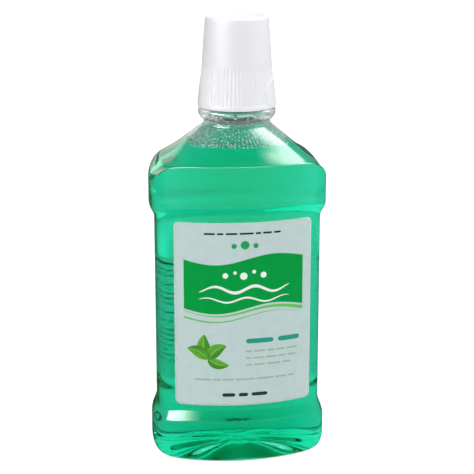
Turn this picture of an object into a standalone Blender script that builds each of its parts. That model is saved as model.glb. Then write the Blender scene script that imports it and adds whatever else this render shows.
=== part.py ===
"""Half-litre mouthwash bottle with a squeeze-and-turn dosing cap.

Metres, +Z up. The origin is the middle of the foot ring that the bottle stands on, and the
label panel faces -Y. Run it with: blender --background --python part.py
"""
import math

import bmesh
import bpy
from mathutils import Matrix

# Bottle body: half sizes of the widest band, and how far the other sections lie inside it
BAND_HALF_WIDTH = 0.0411
BAND_HALF_DEPTH = 0.0284
PANEL_SIDE_INSET = 0.0025
PANEL_FRONT_INSET = 0.0019
FOOT_INSET = 0.0021
FACET_SIDE_INSET = 0.0054
FACET_FRONT_INSET = 0.0008
CREASE_INSET = 0.0003
BODY_WALL = 0.0006

# Bottle body: heights at its sides, from the foot ring up
FOOT_EDGE_HEIGHT = 0.0060
BASE_BAND_HEIGHT = 0.0090
BASE_TAPER_HEIGHT = 0.0098
PANEL_HEIGHT = 0.0885
TOP_TAPER_HEIGHT = 0.0070
SHOULDER_BAND_HEIGHT = 0.0112
FACET_HEIGHT = 0.0092
SHOULDER_HEIGHT = 0.0164

# Bottle body: how much higher the same lines run across the front and the back
BASE_BAND_RISE = 0.0045
PANEL_FOOT_RISE = 0.0020
PANEL_TOP_RISE = 0.0052
TOP_TAPER_RISE = 0.0040
SHOULDER_LINE_RISE = 0.0109
FACET_TOP_RISE = 0.0026

# Sections: shallow arcs in front, behind and at the sides meet in tight corners; how square each
# level is, 0 being a plain ellipse; and how closely the lines keep their side height to the front
FRONT_BOW = 0.373
SIDE_BOW = 0.10
CORNER_POWER = 12.0
CORNER_CROWDING = 0.125
BODY_SQUARENESS = 1.0
FOOT_SQUARENESS = 0.7
SOFT_RISE_POWER = 5.0
SHARP_RISE_POWER = 10.0

# Shoulder: hollow of the slope between the facets and the neck
SHOULDER_HOLLOW = 0.0010
NECK_FILLET = 0.0010

# Base: the foot ring, and the pushed-up centre with its radial flutes
FOOT_RING_WIDTH = 0.0026
PUSH_UP_HEIGHT = 0.0036
FLUTE_DEPTH = 0.0006
FLUTE_COUNT = 10
GATE_RADIUS = 0.0050
GATE_HEIGHT = 0.0009

# Neck and finish, all round
NECK_RADIUS = 0.0150
NECK_STEP = 0.0005
NECK_STEP_HEIGHT = 0.0010
NECK_HEIGHT = 0.0006
BEAD_REACH = 0.0028
BEAD_RISE = 0.0034
BEAD_THICKNESS = 0.0012
BEAD_ROUND = 0.0012
FINISH_RADIUS = 0.0129
FINISH_WALL = 0.0017
FINISH_HEIGHT = 0.0143
BORE_FLARE_HEIGHT = 0.0042
LIP_ROUND = 0.0004

# Child-resistant lugs on the finish, and the teeth in the cap's skirt that catch on them
LUG_REACH = 0.0016
LUG_WIDTH = 0.0030
LUG_HEIGHT = 0.0016
LUG_ROOT = 0.0006
LUG_CLEARANCE = 0.0005
TOOTH_LAG = math.radians(16.0)
TOOTH_FOOT_RISE = 0.0006
TOOTH_HEIGHT = 0.0020

# Liquid: how far its surface lies below the neck's foot, and its clearance in the wall; the gap
# between pieces that touch
HEADSPACE_HEIGHT = 0.0074
LIQUID_GAP = 0.0006
MESH_GAP = 0.0003

# Labels, with their margins to the panel's foot and top lines in front
LABEL_HALF_WIDTH = 0.0308
LABEL_FOOT_MARGIN = 0.0013
LABEL_TOP_MARGIN = 0.0024
LABEL_CORNER = 0.0024
LABEL_THICKNESS = 0.0002

# Cap shell: outer profile, walls and grip
RIM_GAP = 0.0006
RIM_LIP_HEIGHT = 0.0017
SKIRT_FLARE = 0.0020
KINK_RISE = 0.0019
CROWN_HEIGHT = 0.0230
CROWN_TAPER = 0.0017
CROWN_ROUND = 0.0009
CROWN_RIM_WIDTH = 0.0013
CROWN_RECESS = 0.0005
SHELL_WALL = 0.00085
RIB_COUNT = 60
RIB_DEPTH = 0.00028
RIB_FADE = 0.0022
PAD_ANGLE = math.radians(-16.0)
PAD_HALF_WIDTH = 0.0098
PAD_HEIGHT = 0.0112
PAD_PROUD = 0.0001

# Cap cup: threaded sleeve, step over the bottle's lip, and the dosing cup above it
SLEEVE_WALL = 0.0008
SLEEVE_CLEARANCE = 0.0007
THREAD_ROOM = 0.0010
CUP_MOUTH_MARGIN = 0.0004
CUP_TAPER = 0.0009
CUP_WALL = 0.0009
CUP_ROUND = 0.0012
STEP_THICKNESS = 0.0010
LINER_THICKNESS = 0.0007
LINER_EDGE = 0.0003

# Numbers of facets, the angle past which an edge is drawn sharp, and how far a cutter overruns
BODY_FACETS = 56
CAP_FACETS = 2 * RIB_COUNT
INNER_FACETS = 48
TAPER_STEPS = 3
FOOT_STEPS = 3
LABEL_STEPS = 22
CORNER_STEPS = 4
DEPTH_STEPS = 40
ARCH_STEPS = 12
SHARP_ANGLE = math.radians(30.0)
CUT_OVERRUN = 0.004

# Heights that follow from the sizes above
BASE_BAND_TOP = FOOT_EDGE_HEIGHT + BASE_BAND_HEIGHT
PANEL_FOOT = BASE_BAND_TOP + BASE_TAPER_HEIGHT
PANEL_TOP = PANEL_FOOT + PANEL_HEIGHT
SHOULDER_BAND_FOOT = PANEL_TOP + TOP_TAPER_HEIGHT
SHOULDER_LINE = SHOULDER_BAND_FOOT + SHOULDER_BAND_HEIGHT
FACET_TOP = SHOULDER_LINE + FACET_HEIGHT
NECK_FOOT = FACET_TOP + SHOULDER_HEIGHT
BEAD_FOOT = NECK_FOOT + NECK_STEP_HEIGHT + NECK_HEIGHT
BEAD_TOP = BEAD_FOOT + BEAD_RISE + BEAD_THICKNESS + BEAD_ROUND
LIP = BEAD_TOP + FINISH_HEIGHT
FILL_HEIGHT = NECK_FOOT - HEADSPACE_HEIGHT
LABEL_FOOT = PANEL_FOOT + PANEL_FOOT_RISE + LABEL_FOOT_MARGIN
LABEL_TOP = PANEL_TOP + PANEL_TOP_RISE - LABEL_TOP_MARGIN
RIM = BEAD_TOP + RIM_GAP
TOOTH_FOOT = RIM + TOOTH_FOOT_RISE
SLEEVE_FOOT = TOOTH_FOOT + TOOTH_HEIGHT + SLEEVE_CLEARANCE
LINER_FOOT = LIP + MESH_GAP
STEP_FOOT = LINER_FOOT + LINER_THICKNESS + MESH_GAP
STEP_TOP = STEP_FOOT + STEP_THICKNESS
SKIRT_TOP = STEP_TOP + KINK_RISE
CAP_TOP = SKIRT_TOP + CROWN_HEIGHT
SHELL_CEILING = CAP_TOP - CROWN_RECESS - SHELL_WALL
CUP_TOP = SHELL_CEILING - MESH_GAP

# Radii that follow from the sizes above, from the bore outwards
BORE_RADIUS = FINISH_RADIUS - FINISH_WALL
BEAD_RADIUS = NECK_RADIUS + BEAD_REACH
CUP_MOUTH_RADIUS = BORE_RADIUS + CUP_MOUTH_MARGIN
CUP_TOP_RADIUS = CUP_MOUTH_RADIUS - CUP_TAPER
SLEEVE_RADIUS = FINISH_RADIUS + THREAD_ROOM
SLEEVE_OUTER = SLEEVE_RADIUS + SLEEVE_WALL
SKIRT_RADIUS = SLEEVE_OUTER + MESH_GAP + SHELL_WALL + RIB_DEPTH
RIM_RADIUS = SKIRT_RADIUS + SKIRT_FLARE
CROWN_RADIUS = SKIRT_RADIUS - CROWN_TAPER

# Shares chosen by hand along the shoulder, the facets and the base
SHOULDER_SHARES = ((0.0, 0.0), (0.3, 0.375), (0.65, 0.81), (1.0, 1.0))
HOLLOW_SKEW = 2.2
FACET_SHARES = ((0.75, 0.18, 0.25), (0.92, 0.04, 0.04), (1.0, 0.0, 0.0))
DOME_SHARES = ((0.30, 0.8), (0.62, 1.0), (0.88, 0.5))
BEAD_CONE_SHARE = 0.75
PAD_STRAIGHT_SHARE = 0.45
CROWN_EDGE_SHARE = 0.3
GATE_SHARE = 0.6

MATERIALS = {
    "clear_pet": ((0.90, 0.97, 0.95, 0.3), 0.05),
    "green_liquid": ((0.02, 0.62, 0.36, 1.0), 0.05),
    "label_film": ((0.72, 0.77, 0.79, 1.0), 0.35),
    "white_cap": ((0.84, 0.84, 0.86, 1.0), 0.35),
    "natural_cup": ((0.80, 0.81, 0.82, 1.0), 0.40),
    "foam": ((0.88, 0.88, 0.86, 1.0), 0.80),
}


def blend(low, high, share):
    """Value a share of the way from low to high."""
    return low + (high - low) * share


def bowed_reach(middle, toward, away, bow):
    """Reach from the axis to a bowed side: its middle distance, and the direction's two parts."""
    return 2.0 * middle / (toward + math.sqrt(toward ** 2 + 4.0 * bow * (middle * away) ** 2))


class Section:
    """One level of the bottle: its half width and height at the sides, and the same in front."""

    def __init__(
            self, side_r, side_z, front_r, front_z, squareness, rise_power=SOFT_RISE_POWER, flute=0.0):
        self.side_r = side_r
        self.side_z = side_z
        self.front_r = front_r
        self.front_z = front_z
        self.squareness = squareness
        self.rise_power = rise_power
        self.flute = flute

    def point(self, turn):
        """Point of the section where an ellipse's parameter is about turn, crowded at the corners."""
        crowded = turn + CORNER_CROWDING * math.sin(4.0 * turn)
        angle = math.atan2(self.front_r * math.sin(crowded), self.side_r * math.cos(crowded))
        across = abs(math.cos(angle))
        along = abs(math.sin(angle))
        front = bowed_reach(self.front_r, along, across / self.side_r, FRONT_BOW)
        side = bowed_reach(self.side_r, across, along / self.front_r, SIDE_BOW)
        square = (front ** -CORNER_POWER + side ** -CORNER_POWER) ** (-1.0 / CORNER_POWER)
        reach = blend(1.0 / math.hypot(across / self.side_r, along / self.front_r), square, self.squareness)
        x = reach * math.cos(angle)
        y = reach * math.sin(angle)
        share = 1.0 - min(1.0, abs(x) / self.side_r) ** self.rise_power
        z = self.side_z + (self.front_z - self.side_z) * share
        return x, y, z + self.flute * math.cos(FLUTE_COUNT * turn)

    def ring(self, count):
        """All the points of the section."""
        return [self.point(math.tau * step / count) for step in range(count)]


def round_section(radius, height):
    """A circular level of the neck."""
    return Section(radius, height, radius, height, 0.0)


def smooth_step(share):
    """Ease in and out between 0 and 1."""
    return share * share * (3.0 - 2.0 * share)


def profile_normal(before, here, after):
    """Mitred outward normal of a profile that runs from top to bottom, as (radius, height)."""
    normals = []
    for start, end in ((before, here), (here, after)):
        step_r = end[0] - start[0]
        step_z = end[1] - start[1]
        length = math.hypot(step_r, step_z)
        if length > 0.0:
            normals.append((-step_z / length, step_r / length))
    mean_r = sum(normal[0] for normal in normals) / len(normals)
    mean_z = sum(normal[1] for normal in normals) / len(normals)
    square = mean_r * mean_r + mean_z * mean_z
    return mean_r / square, mean_z / square


def offset_sections(sections, distance):
    """Sections moved outwards by distance, square to the wall; a negative distance goes inwards."""
    sides = [(section.side_r, section.side_z) for section in sections]
    fronts = [(section.front_r, section.front_z) for section in sections]
    moved = []
    for index, section in enumerate(sections):
        before = max(index - 1, 0)
        after = min(index + 1, len(sections) - 1)
        side = profile_normal(sides[before], sides[index], sides[after])
        front = profile_normal(fronts[before], fronts[index], fronts[after])
        moved.append(Section(
            section.side_r + distance * side[0],
            section.side_z + distance * side[1],
            section.front_r + distance * front[0],
            section.front_z + distance * front[1],
            section.squareness, section.rise_power, section.flute))
    return moved


def taper_sections(inset_shares, side_span, front_span, rise_power):
    """Eased sections between the band and the panel; an inset share of 1 is the panel's own size."""
    sections = []
    for step in range(TAPER_STEPS + 1):
        share = step / TAPER_STEPS
        inset_share = blend(inset_shares[0], inset_shares[1], smooth_step(share))
        sections.append(Section(
            BAND_HALF_WIDTH - PANEL_SIDE_INSET * inset_share, blend(side_span[0], side_span[1], share),
            BAND_HALF_DEPTH - PANEL_FRONT_INSET * inset_share, blend(front_span[0], front_span[1], share),
            BODY_SQUARENESS, rise_power))
    return sections


def shoulder_sections():
    """The slope from the neck's foot down to the facets, slightly hollow."""
    side_end = BAND_HALF_WIDTH - FACET_SIDE_INSET
    front_end = BAND_HALF_DEPTH - FACET_FRONT_INSET
    start_r = NECK_RADIUS + NECK_STEP + NECK_FILLET
    start_z = NECK_FOOT - NECK_FILLET
    sections = []
    for share, squareness in SHOULDER_SHARES:
        hollow = SHOULDER_HOLLOW * math.sin(math.pi * share ** HOLLOW_SKEW)
        sections.append(Section(
            blend(start_r, side_end, share) - hollow, blend(start_z, FACET_TOP, share),
            blend(start_r, front_end, share) - hollow, blend(start_z, FACET_TOP + FACET_TOP_RISE, share),
            squareness, SHARP_RISE_POWER))
    return sections


def facet_sections():
    """The steep side facets, which end in front in the shoulder's crease."""
    front_line = SHOULDER_LINE + SHOULDER_LINE_RISE
    front_top = FACET_TOP + FACET_TOP_RISE
    sections = []
    for share, side_share, front_share in FACET_SHARES:
        sections.append(Section(
            BAND_HALF_WIDTH - FACET_SIDE_INSET * side_share, blend(FACET_TOP, SHOULDER_LINE, share),
            BAND_HALF_DEPTH - FACET_FRONT_INSET * front_share,
            blend(front_top, front_line - CREASE_INSET, share),
            BODY_SQUARENESS, SHARP_RISE_POWER))
    return sections


def foot_sections():
    """The rounded edge between the base band and the foot ring."""
    sections = []
    for step in range(FOOT_STEPS + 1):
        turn = 0.5 * math.pi * step / FOOT_STEPS
        inset = FOOT_INSET * (1.0 - math.cos(turn))
        height = FOOT_EDGE_HEIGHT * (1.0 - math.sin(turn))
        sections.append(Section(
            BAND_HALF_WIDTH - inset, height, BAND_HALF_DEPTH - inset, height,
            blend(BODY_SQUARENESS, FOOT_SQUARENESS, step / FOOT_STEPS)))
    return sections


def base_sections():
    """The underside: the flat foot ring, then the fluted dome up to the gate."""
    side_r = BAND_HALF_WIDTH - FOOT_INSET - FOOT_RING_WIDTH
    front_r = BAND_HALF_DEPTH - FOOT_INSET - FOOT_RING_WIDTH
    sections = [Section(side_r, 0.0, front_r, 0.0, FOOT_SQUARENESS)]
    for share, flute_share in DOME_SHARES:
        height = PUSH_UP_HEIGHT * math.sin(0.5 * math.pi * share)
        sections.append(Section(
            blend(side_r, GATE_RADIUS, share), height, blend(front_r, GATE_RADIUS, share), height,
            blend(FOOT_SQUARENESS, 0.0, share), SOFT_RISE_POWER, FLUTE_DEPTH * flute_share))
    sections.append(round_section(GATE_RADIUS, PUSH_UP_HEIGHT))
    return sections


def body_sections():
    """The whole blown body, from the neck's foot down to the gate in the base."""
    top = taper_sections(
        (0.0, 1.0), (SHOULDER_BAND_FOOT, PANEL_TOP),
        (SHOULDER_BAND_FOOT + TOP_TAPER_RISE, PANEL_TOP + PANEL_TOP_RISE), SOFT_RISE_POWER)
    low = taper_sections(
        (1.0, 0.0), (PANEL_FOOT, BASE_BAND_TOP),
        (PANEL_FOOT + PANEL_FOOT_RISE, BASE_BAND_TOP + BASE_BAND_RISE), SOFT_RISE_POWER)
    return shoulder_sections() + facet_sections() + top + low + foot_sections() + base_sections()


def finish_sections():
    """The outside of the neck, from the bottle's lip down to the shoulder."""
    bead_middle = BEAD_FOOT + BEAD_RISE
    return [
        round_section(FINISH_RADIUS - LIP_ROUND, LIP),
        round_section(FINISH_RADIUS, LIP - LIP_ROUND),
        round_section(FINISH_RADIUS, BEAD_TOP),
        round_section(BEAD_RADIUS - BEAD_ROUND, BEAD_TOP),
        round_section(BEAD_RADIUS, BEAD_TOP - BEAD_ROUND),
        round_section(BEAD_RADIUS, bead_middle),
        round_section(blend(NECK_RADIUS, BEAD_RADIUS, BEAD_CONE_SHARE), 0.5 * (BEAD_FOOT + bead_middle)),
        round_section(NECK_RADIUS, BEAD_FOOT),
        round_section(NECK_RADIUS, NECK_FOOT + NECK_STEP_HEIGHT),
        round_section(NECK_RADIUS + NECK_STEP, NECK_FOOT + NECK_STEP_HEIGHT - NECK_STEP),
        round_section(NECK_RADIUS + NECK_STEP, NECK_FOOT),
    ]


def bore_sections(clearance):
    """The inside of the neck, from the lip down to where the blown wall begins."""
    bore = BORE_RADIUS - clearance
    return [
        round_section(bore + LIP_ROUND, LIP),
        round_section(bore, LIP - LIP_ROUND),
        round_section(bore, BEAD_FOOT + BORE_FLARE_HEIGHT),
        round_section(NECK_RADIUS + NECK_STEP - BODY_WALL - clearance, NECK_FOOT),
    ]


def inside_sections(clearance=0.0):
    """The whole inside of the bottle from its lip down, or a form that clears it."""
    return bore_sections(clearance) + offset_sections(body_sections(), -(BODY_WALL + clearance))


def new_object(name, mesh, material_name):
    """Link a mesh as an object with its own plain material."""
    color, roughness = MATERIALS[material_name]
    material = bpy.data.materials.new(name + "_" + material_name)
    material.use_nodes = True
    shader = material.node_tree.nodes["Principled BSDF"]
    shader.inputs["Base Color"].default_value = color
    shader.inputs["Roughness"].default_value = roughness
    shader.inputs["Metallic"].default_value = 0.0
    material.diffuse_color = color
    mesh.materials.append(material)
    piece = bpy.data.objects.new(name, mesh)
    bpy.context.scene.collection.objects.link(piece)
    return piece


def loft(name, rings, material_name):
    """Close a row of rings into one body, with a pole at each end of the row."""
    mesh = bpy.data.meshes.new(name)
    shape = bmesh.new()
    rows = [[shape.verts.new(point) for point in ring] for ring in rings]
    count = len(rows[0])
    for upper, lower in zip(rows, rows[1:]):
        for index in range(count):
            after = (index + 1) % count
            shape.faces.new((upper[index], lower[index], lower[after], upper[after]))
    for row, height in ((rows[0], rings[0][0][2]), (rows[-1], rings[-1][0][2])):
        pole = shape.verts.new((0.0, 0.0, height))
        for index in range(count):
            shape.faces.new((row[index], row[(index + 1) % count], pole))
    bmesh.ops.recalc_face_normals(shape, faces=shape.faces)
    shape.to_mesh(mesh)
    shape.free()
    mesh.shade_smooth()
    mesh.set_sharp_from_angle(angle=SHARP_ANGLE)
    return new_object(name, mesh, material_name)


def turned(name, profile, facets, material_name):
    """A turned body from (radius, height) points, closed on the axis at both ends."""
    rings = [round_section(radius, height).ring(facets) for radius, height in profile]
    return loft(name, rings, material_name)


def turned_ring(name, profile, facets, material_name):
    """A turned ring from a closed (radius, height) outline."""
    mesh = bpy.data.meshes.new(name)
    shape = bmesh.new()
    rows = []
    for radius, height in profile:
        rows.append([shape.verts.new(point) for point in round_section(radius, height).ring(facets)])
    for upper, lower in zip(rows, rows[1:] + rows[:1]):
        for index in range(facets):
            after = (index + 1) % facets
            shape.faces.new((upper[index], lower[index], lower[after], upper[after]))
    bmesh.ops.recalc_face_normals(shape, faces=shape.faces)
    shape.to_mesh(mesh)
    shape.free()
    mesh.shade_smooth()
    mesh.set_sharp_from_angle(angle=SHARP_ANGLE)
    return new_object(name, mesh, material_name)


def cutter(name, points, height):
    """A prism on a flat outline in the XY plane, for a Boolean modifier to use."""
    mesh = bpy.data.meshes.new(name)
    shape = bmesh.new()
    outline = [shape.verts.new((x, y, 0.0)) for x, y in points]
    face = shape.faces.new(outline)
    grown = bmesh.ops.extrude_face_region(shape, geom=[face])
    tops = [item for item in grown["geom"] if isinstance(item, bmesh.types.BMVert)]
    bmesh.ops.translate(shape, verts=tops, vec=(0.0, 0.0, height))
    bmesh.ops.recalc_face_normals(shape, faces=shape.faces)
    shape.to_mesh(mesh)
    shape.free()
    tool = bpy.data.objects.new(name, mesh)
    tool.hide_render = True
    tool.display_type = "WIRE"
    bpy.context.scene.collection.objects.link(tool)
    return tool


def boolean(piece, tool, operation):
    """Join, cut or intersect a piece with a tool."""
    modifier = piece.modifiers.new(tool.name, "BOOLEAN")
    modifier.operation = operation
    modifier.solver = "EXACT"
    modifier.object = tool


def lug_points(root, tip, half_width):
    """Outline of a ratchet lug on +X: a slow ramp on one side and a stop on the other."""
    return [(root, -half_width), (tip, 0.0), (tip, half_width), (root, half_width)]


def add_lugs(piece, name, root, tip, foot, height, start_turn):
    """Join two opposite lugs to a round piece."""
    for side in range(2):
        tool = cutter(f"{name}_{side}", lug_points(root, tip, 0.5 * LUG_WIDTH), height)
        turn = Matrix.Rotation(start_turn + math.pi * side, 4, "Z")
        tool.matrix_world = turn @ Matrix.Translation((0.0, 0.0, foot))
        boolean(piece, tool, "UNION")


def make_bottle():
    """The blown bottle, with its finish and lugs."""
    outside = finish_sections() + body_sections()
    gate = [round_section(GATE_SHARE * GATE_RADIUS, PUSH_UP_HEIGHT - GATE_HEIGHT)]
    inside = list(reversed(inside_sections()))
    rings = [section.ring(BODY_FACETS) for section in inside + outside + gate]
    bottle = loft("bottle", rings, "clear_pet")
    add_lugs(
        bottle, "bottle_lug", FINISH_RADIUS - LUG_ROOT, FINISH_RADIUS + LUG_REACH,
        BEAD_TOP - LUG_ROOT, LUG_HEIGHT + LUG_ROOT, PAD_ANGLE + 0.5 * math.pi)
    return bottle


def liquid_sections():
    """The liquid's sides, just inside the wall, from its surface down to the base."""
    sections = inside_sections(LIQUID_GAP)
    above = [section for section in sections if section.side_z > FILL_HEIGHT]
    below = [section for section in sections if section.side_z <= FILL_HEIGHT]
    upper = above[-1]
    lower = below[0]
    share = (upper.side_z - FILL_HEIGHT) / (upper.side_z - lower.side_z)
    surface = Section(
        blend(upper.side_r, lower.side_r, share), FILL_HEIGHT,
        blend(upper.front_r, lower.front_r, share), FILL_HEIGHT,
        blend(upper.squareness, lower.squareness, share))
    return [surface] + below


def make_liquid():
    """The mouthwash, filled to the shoulder."""
    rings = [section.ring(BODY_FACETS) for section in liquid_sections()]
    return loft("mouthwash", rings, "green_liquid")


def panel_section(outset):
    """The label panel's section, moved outwards."""
    return Section(
        BAND_HALF_WIDTH - PANEL_SIDE_INSET + outset, 0.0,
        BAND_HALF_DEPTH - PANEL_FRONT_INSET + outset, 0.0, BODY_SQUARENESS)


def panel_depth(section, x):
    """Depth of the panel's section at a place across its front, found by halving."""
    near_side = 0.0
    near_front = 0.5 * math.pi
    for _ in range(DEPTH_STEPS):
        middle = 0.5 * (near_side + near_front)
        if section.point(middle)[0] > abs(x):
            near_side = middle
        else:
            near_front = middle
    return section.point(near_front)[1]


def label_outline():
    """Half widths of the label and how far its top and bottom edges are cut back there."""
    flat = LABEL_HALF_WIDTH - LABEL_CORNER
    outline = []
    for step in range(LABEL_STEPS + 1):
        outline.append((flat * (2.0 * step / LABEL_STEPS - 1.0), 0.0))
    for step in range(1, CORNER_STEPS + 1):
        turn = 0.5 * math.pi * step / CORNER_STEPS
        x = flat + LABEL_CORNER * math.sin(turn)
        cut = LABEL_CORNER * (1.0 - math.cos(turn))
        outline.append((x, cut))
        outline.insert(0, (-x, cut))
    return outline


def make_label(name, facing):
    """A film label wrapped on the panel; facing is -1 for the front and 1 for the back."""
    near = panel_section(MESH_GAP)
    far = panel_section(MESH_GAP + LABEL_THICKNESS)
    mesh = bpy.data.meshes.new(name)
    shape = bmesh.new()
    columns = []
    for x, cut in label_outline():
        foot = LABEL_FOOT + cut
        top = LABEL_TOP - cut
        near_y = facing * panel_depth(near, x)
        far_y = facing * panel_depth(far, x)
        corners = ((x, near_y, foot), (x, far_y, foot), (x, far_y, top), (x, near_y, top))
        columns.append([shape.verts.new(corner) for corner in corners])
    for left, right in zip(columns, columns[1:]):
        for index in range(4):
            after = (index + 1) % 4
            shape.faces.new((left[index], left[after], right[after], right[index]))
    shape.faces.new(columns[0])
    shape.faces.new(columns[-1])
    bmesh.ops.recalc_face_normals(shape, faces=shape.faces)
    shape.to_mesh(mesh)
    shape.free()
    mesh.shade_smooth()
    mesh.set_sharp_from_angle(angle=SHARP_ANGLE)
    return new_object(name, mesh, "label_film")


def shell_radius(height):
    """Outer radius of the cap's wall, between the ribs."""
    if height < SKIRT_TOP:
        return blend(RIM_RADIUS, SKIRT_RADIUS, (height - RIM) / (SKIRT_TOP - RIM))
    return blend(SKIRT_RADIUS, CROWN_RADIUS, (height - SKIRT_TOP) / CROWN_HEIGHT)


def shell_ring(height, rib_share, inset=0.0):
    """One level of the cap's outside, with its ribs standing out by a share of their depth."""
    ring = []
    for step in range(CAP_FACETS):
        turn = math.tau * step / CAP_FACETS
        radius = shell_radius(height) - inset - RIB_DEPTH * rib_share * (step % 2)
        ring.append((radius * math.cos(turn), radius * math.sin(turn), height))
    return ring


def shell_outside():
    """Rings of the cap's outside, from the middle of its top down to the rim."""
    recess = CAP_TOP - CROWN_RECESS
    inner_r = CROWN_RADIUS - CROWN_RIM_WIDTH - CROWN_ROUND
    rings = [round_section(inner_r - CROWN_RECESS, recess).ring(CAP_FACETS)]
    rings.append(round_section(inner_r, CAP_TOP).ring(CAP_FACETS))
    rings.append(shell_ring(CAP_TOP, 0.0, CROWN_ROUND))
    edge = CROWN_EDGE_SHARE * CROWN_ROUND
    rings.append(shell_ring(CAP_TOP - edge, 0.0, edge))
    rings.append(shell_ring(CAP_TOP - CROWN_ROUND, 0.0))
    rings.append(shell_ring(SKIRT_TOP + RIB_FADE, 0.0))
    rings.append(shell_ring(SKIRT_TOP, 1.0))
    rings.append(shell_ring(RIM + RIM_LIP_HEIGHT + RIB_DEPTH, 1.0))
    rings.append(shell_ring(RIM + RIM_LIP_HEIGHT, 0.0))
    rings.append(shell_ring(RIM, 0.0))
    return rings


def shell_inside():
    """Rings of the cap's inside, from its rim up to its ceiling."""
    profile = []
    for height in (RIM, SKIRT_TOP, SHELL_CEILING - CROWN_ROUND):
        profile.append((shell_radius(height) - RIB_DEPTH - SHELL_WALL, height))
    profile.append((shell_radius(SHELL_CEILING) - RIB_DEPTH - SHELL_WALL - CROWN_ROUND, SHELL_CEILING))
    return [round_section(radius, height).ring(CAP_FACETS) for radius, height in profile]


def pad_plate(name):
    """A smooth thumb pad: the skirt's cone, standing as proud as the ribs, cut to an arch."""
    foot = RIM + RIM_LIP_HEIGHT
    top = foot + PAD_HEIGHT + CUT_OVERRUN
    profile = [
        (shell_radius(foot) - SHELL_WALL, foot),
        (shell_radius(foot) + PAD_PROUD, foot),
        (shell_radius(top) + PAD_PROUD, top),
        (shell_radius(top) - SHELL_WALL, top),
    ]
    plate = turned_ring(name, profile, CAP_FACETS, "white_cap")
    plate.hide_render = True
    plate.display_type = "WIRE"
    return plate


def arch_points():
    """Outline of a thumb pad seen from outside: straight sides under a low arch."""
    straight = PAD_STRAIGHT_SHARE * PAD_HEIGHT
    points = [(-PAD_HALF_WIDTH, -CUT_OVERRUN), (PAD_HALF_WIDTH, -CUT_OVERRUN)]
    for step in range(ARCH_STEPS + 1):
        turn = math.pi * step / ARCH_STEPS
        rise = (PAD_HEIGHT - straight) * math.sin(turn)
        points.append((PAD_HALF_WIDTH * math.cos(turn), straight + rise))
    return points


def add_pads(shell):
    """Join the two opposite thumb pads to the skirt."""
    foot = RIM + RIM_LIP_HEIGHT
    for side in range(2):
        plate = pad_plate(f"pad_plate_{side}")
        arch = cutter(f"pad_arch_{side}", arch_points(), RIM_RADIUS + CUT_OVERRUN)
        upright = Matrix.Rotation(0.5 * math.pi, 4, "Z") @ Matrix.Rotation(0.5 * math.pi, 4, "X")
        turn = Matrix.Rotation(PAD_ANGLE + math.pi * side, 4, "Z")
        arch.matrix_world = turn @ Matrix.Translation((0.0, 0.0, foot)) @ upright
        boolean(plate, arch, "INTERSECT")
        boolean(shell, plate, "UNION")


def make_cap_shell():
    """The white overcap, with its grip, pads and child-resistant teeth."""
    shell = loft("cap_shell", shell_outside() + shell_inside(), "white_cap")
    add_pads(shell)
    wall = shell_radius(TOOTH_FOOT) - RIB_DEPTH - SHELL_WALL
    add_lugs(
        shell, "cap_tooth", wall + LUG_ROOT, FINISH_RADIUS + LUG_REACH + LUG_CLEARANCE,
        TOOTH_FOOT, TOOTH_HEIGHT, PAD_ANGLE + 0.5 * math.pi - TOOTH_LAG)
    return shell


def make_cap_cup():
    """The inner moulding: a sleeve on the finish, a step on the liner, and the dosing cup."""
    profile = [
        (CUP_TOP_RADIUS - CUP_ROUND, CUP_TOP - CUP_WALL),
        (CUP_TOP_RADIUS, CUP_TOP - CUP_WALL - CUP_ROUND),
        (CUP_MOUTH_RADIUS, STEP_FOOT),
        (SLEEVE_RADIUS, STEP_FOOT),
        (SLEEVE_RADIUS, SLEEVE_FOOT),
        (SLEEVE_OUTER, SLEEVE_FOOT),
        (SLEEVE_OUTER, STEP_TOP),
        (CUP_MOUTH_RADIUS + CUP_WALL, STEP_TOP),
        (CUP_TOP_RADIUS + CUP_WALL, CUP_TOP - CUP_ROUND),
        (CUP_TOP_RADIUS + CUP_WALL - CUP_ROUND, CUP_TOP),
    ]
    return turned("cap_cup", profile, INNER_FACETS, "natural_cup")


def make_seal_liner():
    """The foam ring that the lip seals on."""
    inner = CUP_MOUTH_RADIUS
    outer = SLEEVE_RADIUS - LINER_EDGE
    top = LINER_FOOT + LINER_THICKNESS
    profile = [(inner, LINER_FOOT), (outer, LINER_FOOT), (outer, top), (inner, top)]
    return turned_ring("seal_liner", profile, INNER_FACETS, "foam")


def main():
    """Clear the scene and build every piece."""
    for old in list(bpy.data.objects):
        bpy.data.objects.remove(old, do_unlink=True)
    make_bottle()
    make_liquid()
    make_label("front_label", -1.0)
    make_label("back_label", 1.0)
    make_cap_shell()
    make_cap_cup()
    make_seal_liner()


main()
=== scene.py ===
"""Looks of a half-litre mouthwash bottle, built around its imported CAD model.

Metres, +Z up, in the CAD model's own frame: the bottle stands on the origin and its front label
faces -Y. The pieces replace the faceted CAD nodes with fine surfaces of the same sizes, read from
the frame where it holds them.
"""
import logging
import math
from dataclasses import dataclass, field
from enum import Enum
from typing import Callable, Iterable, Optional, Union

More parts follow.
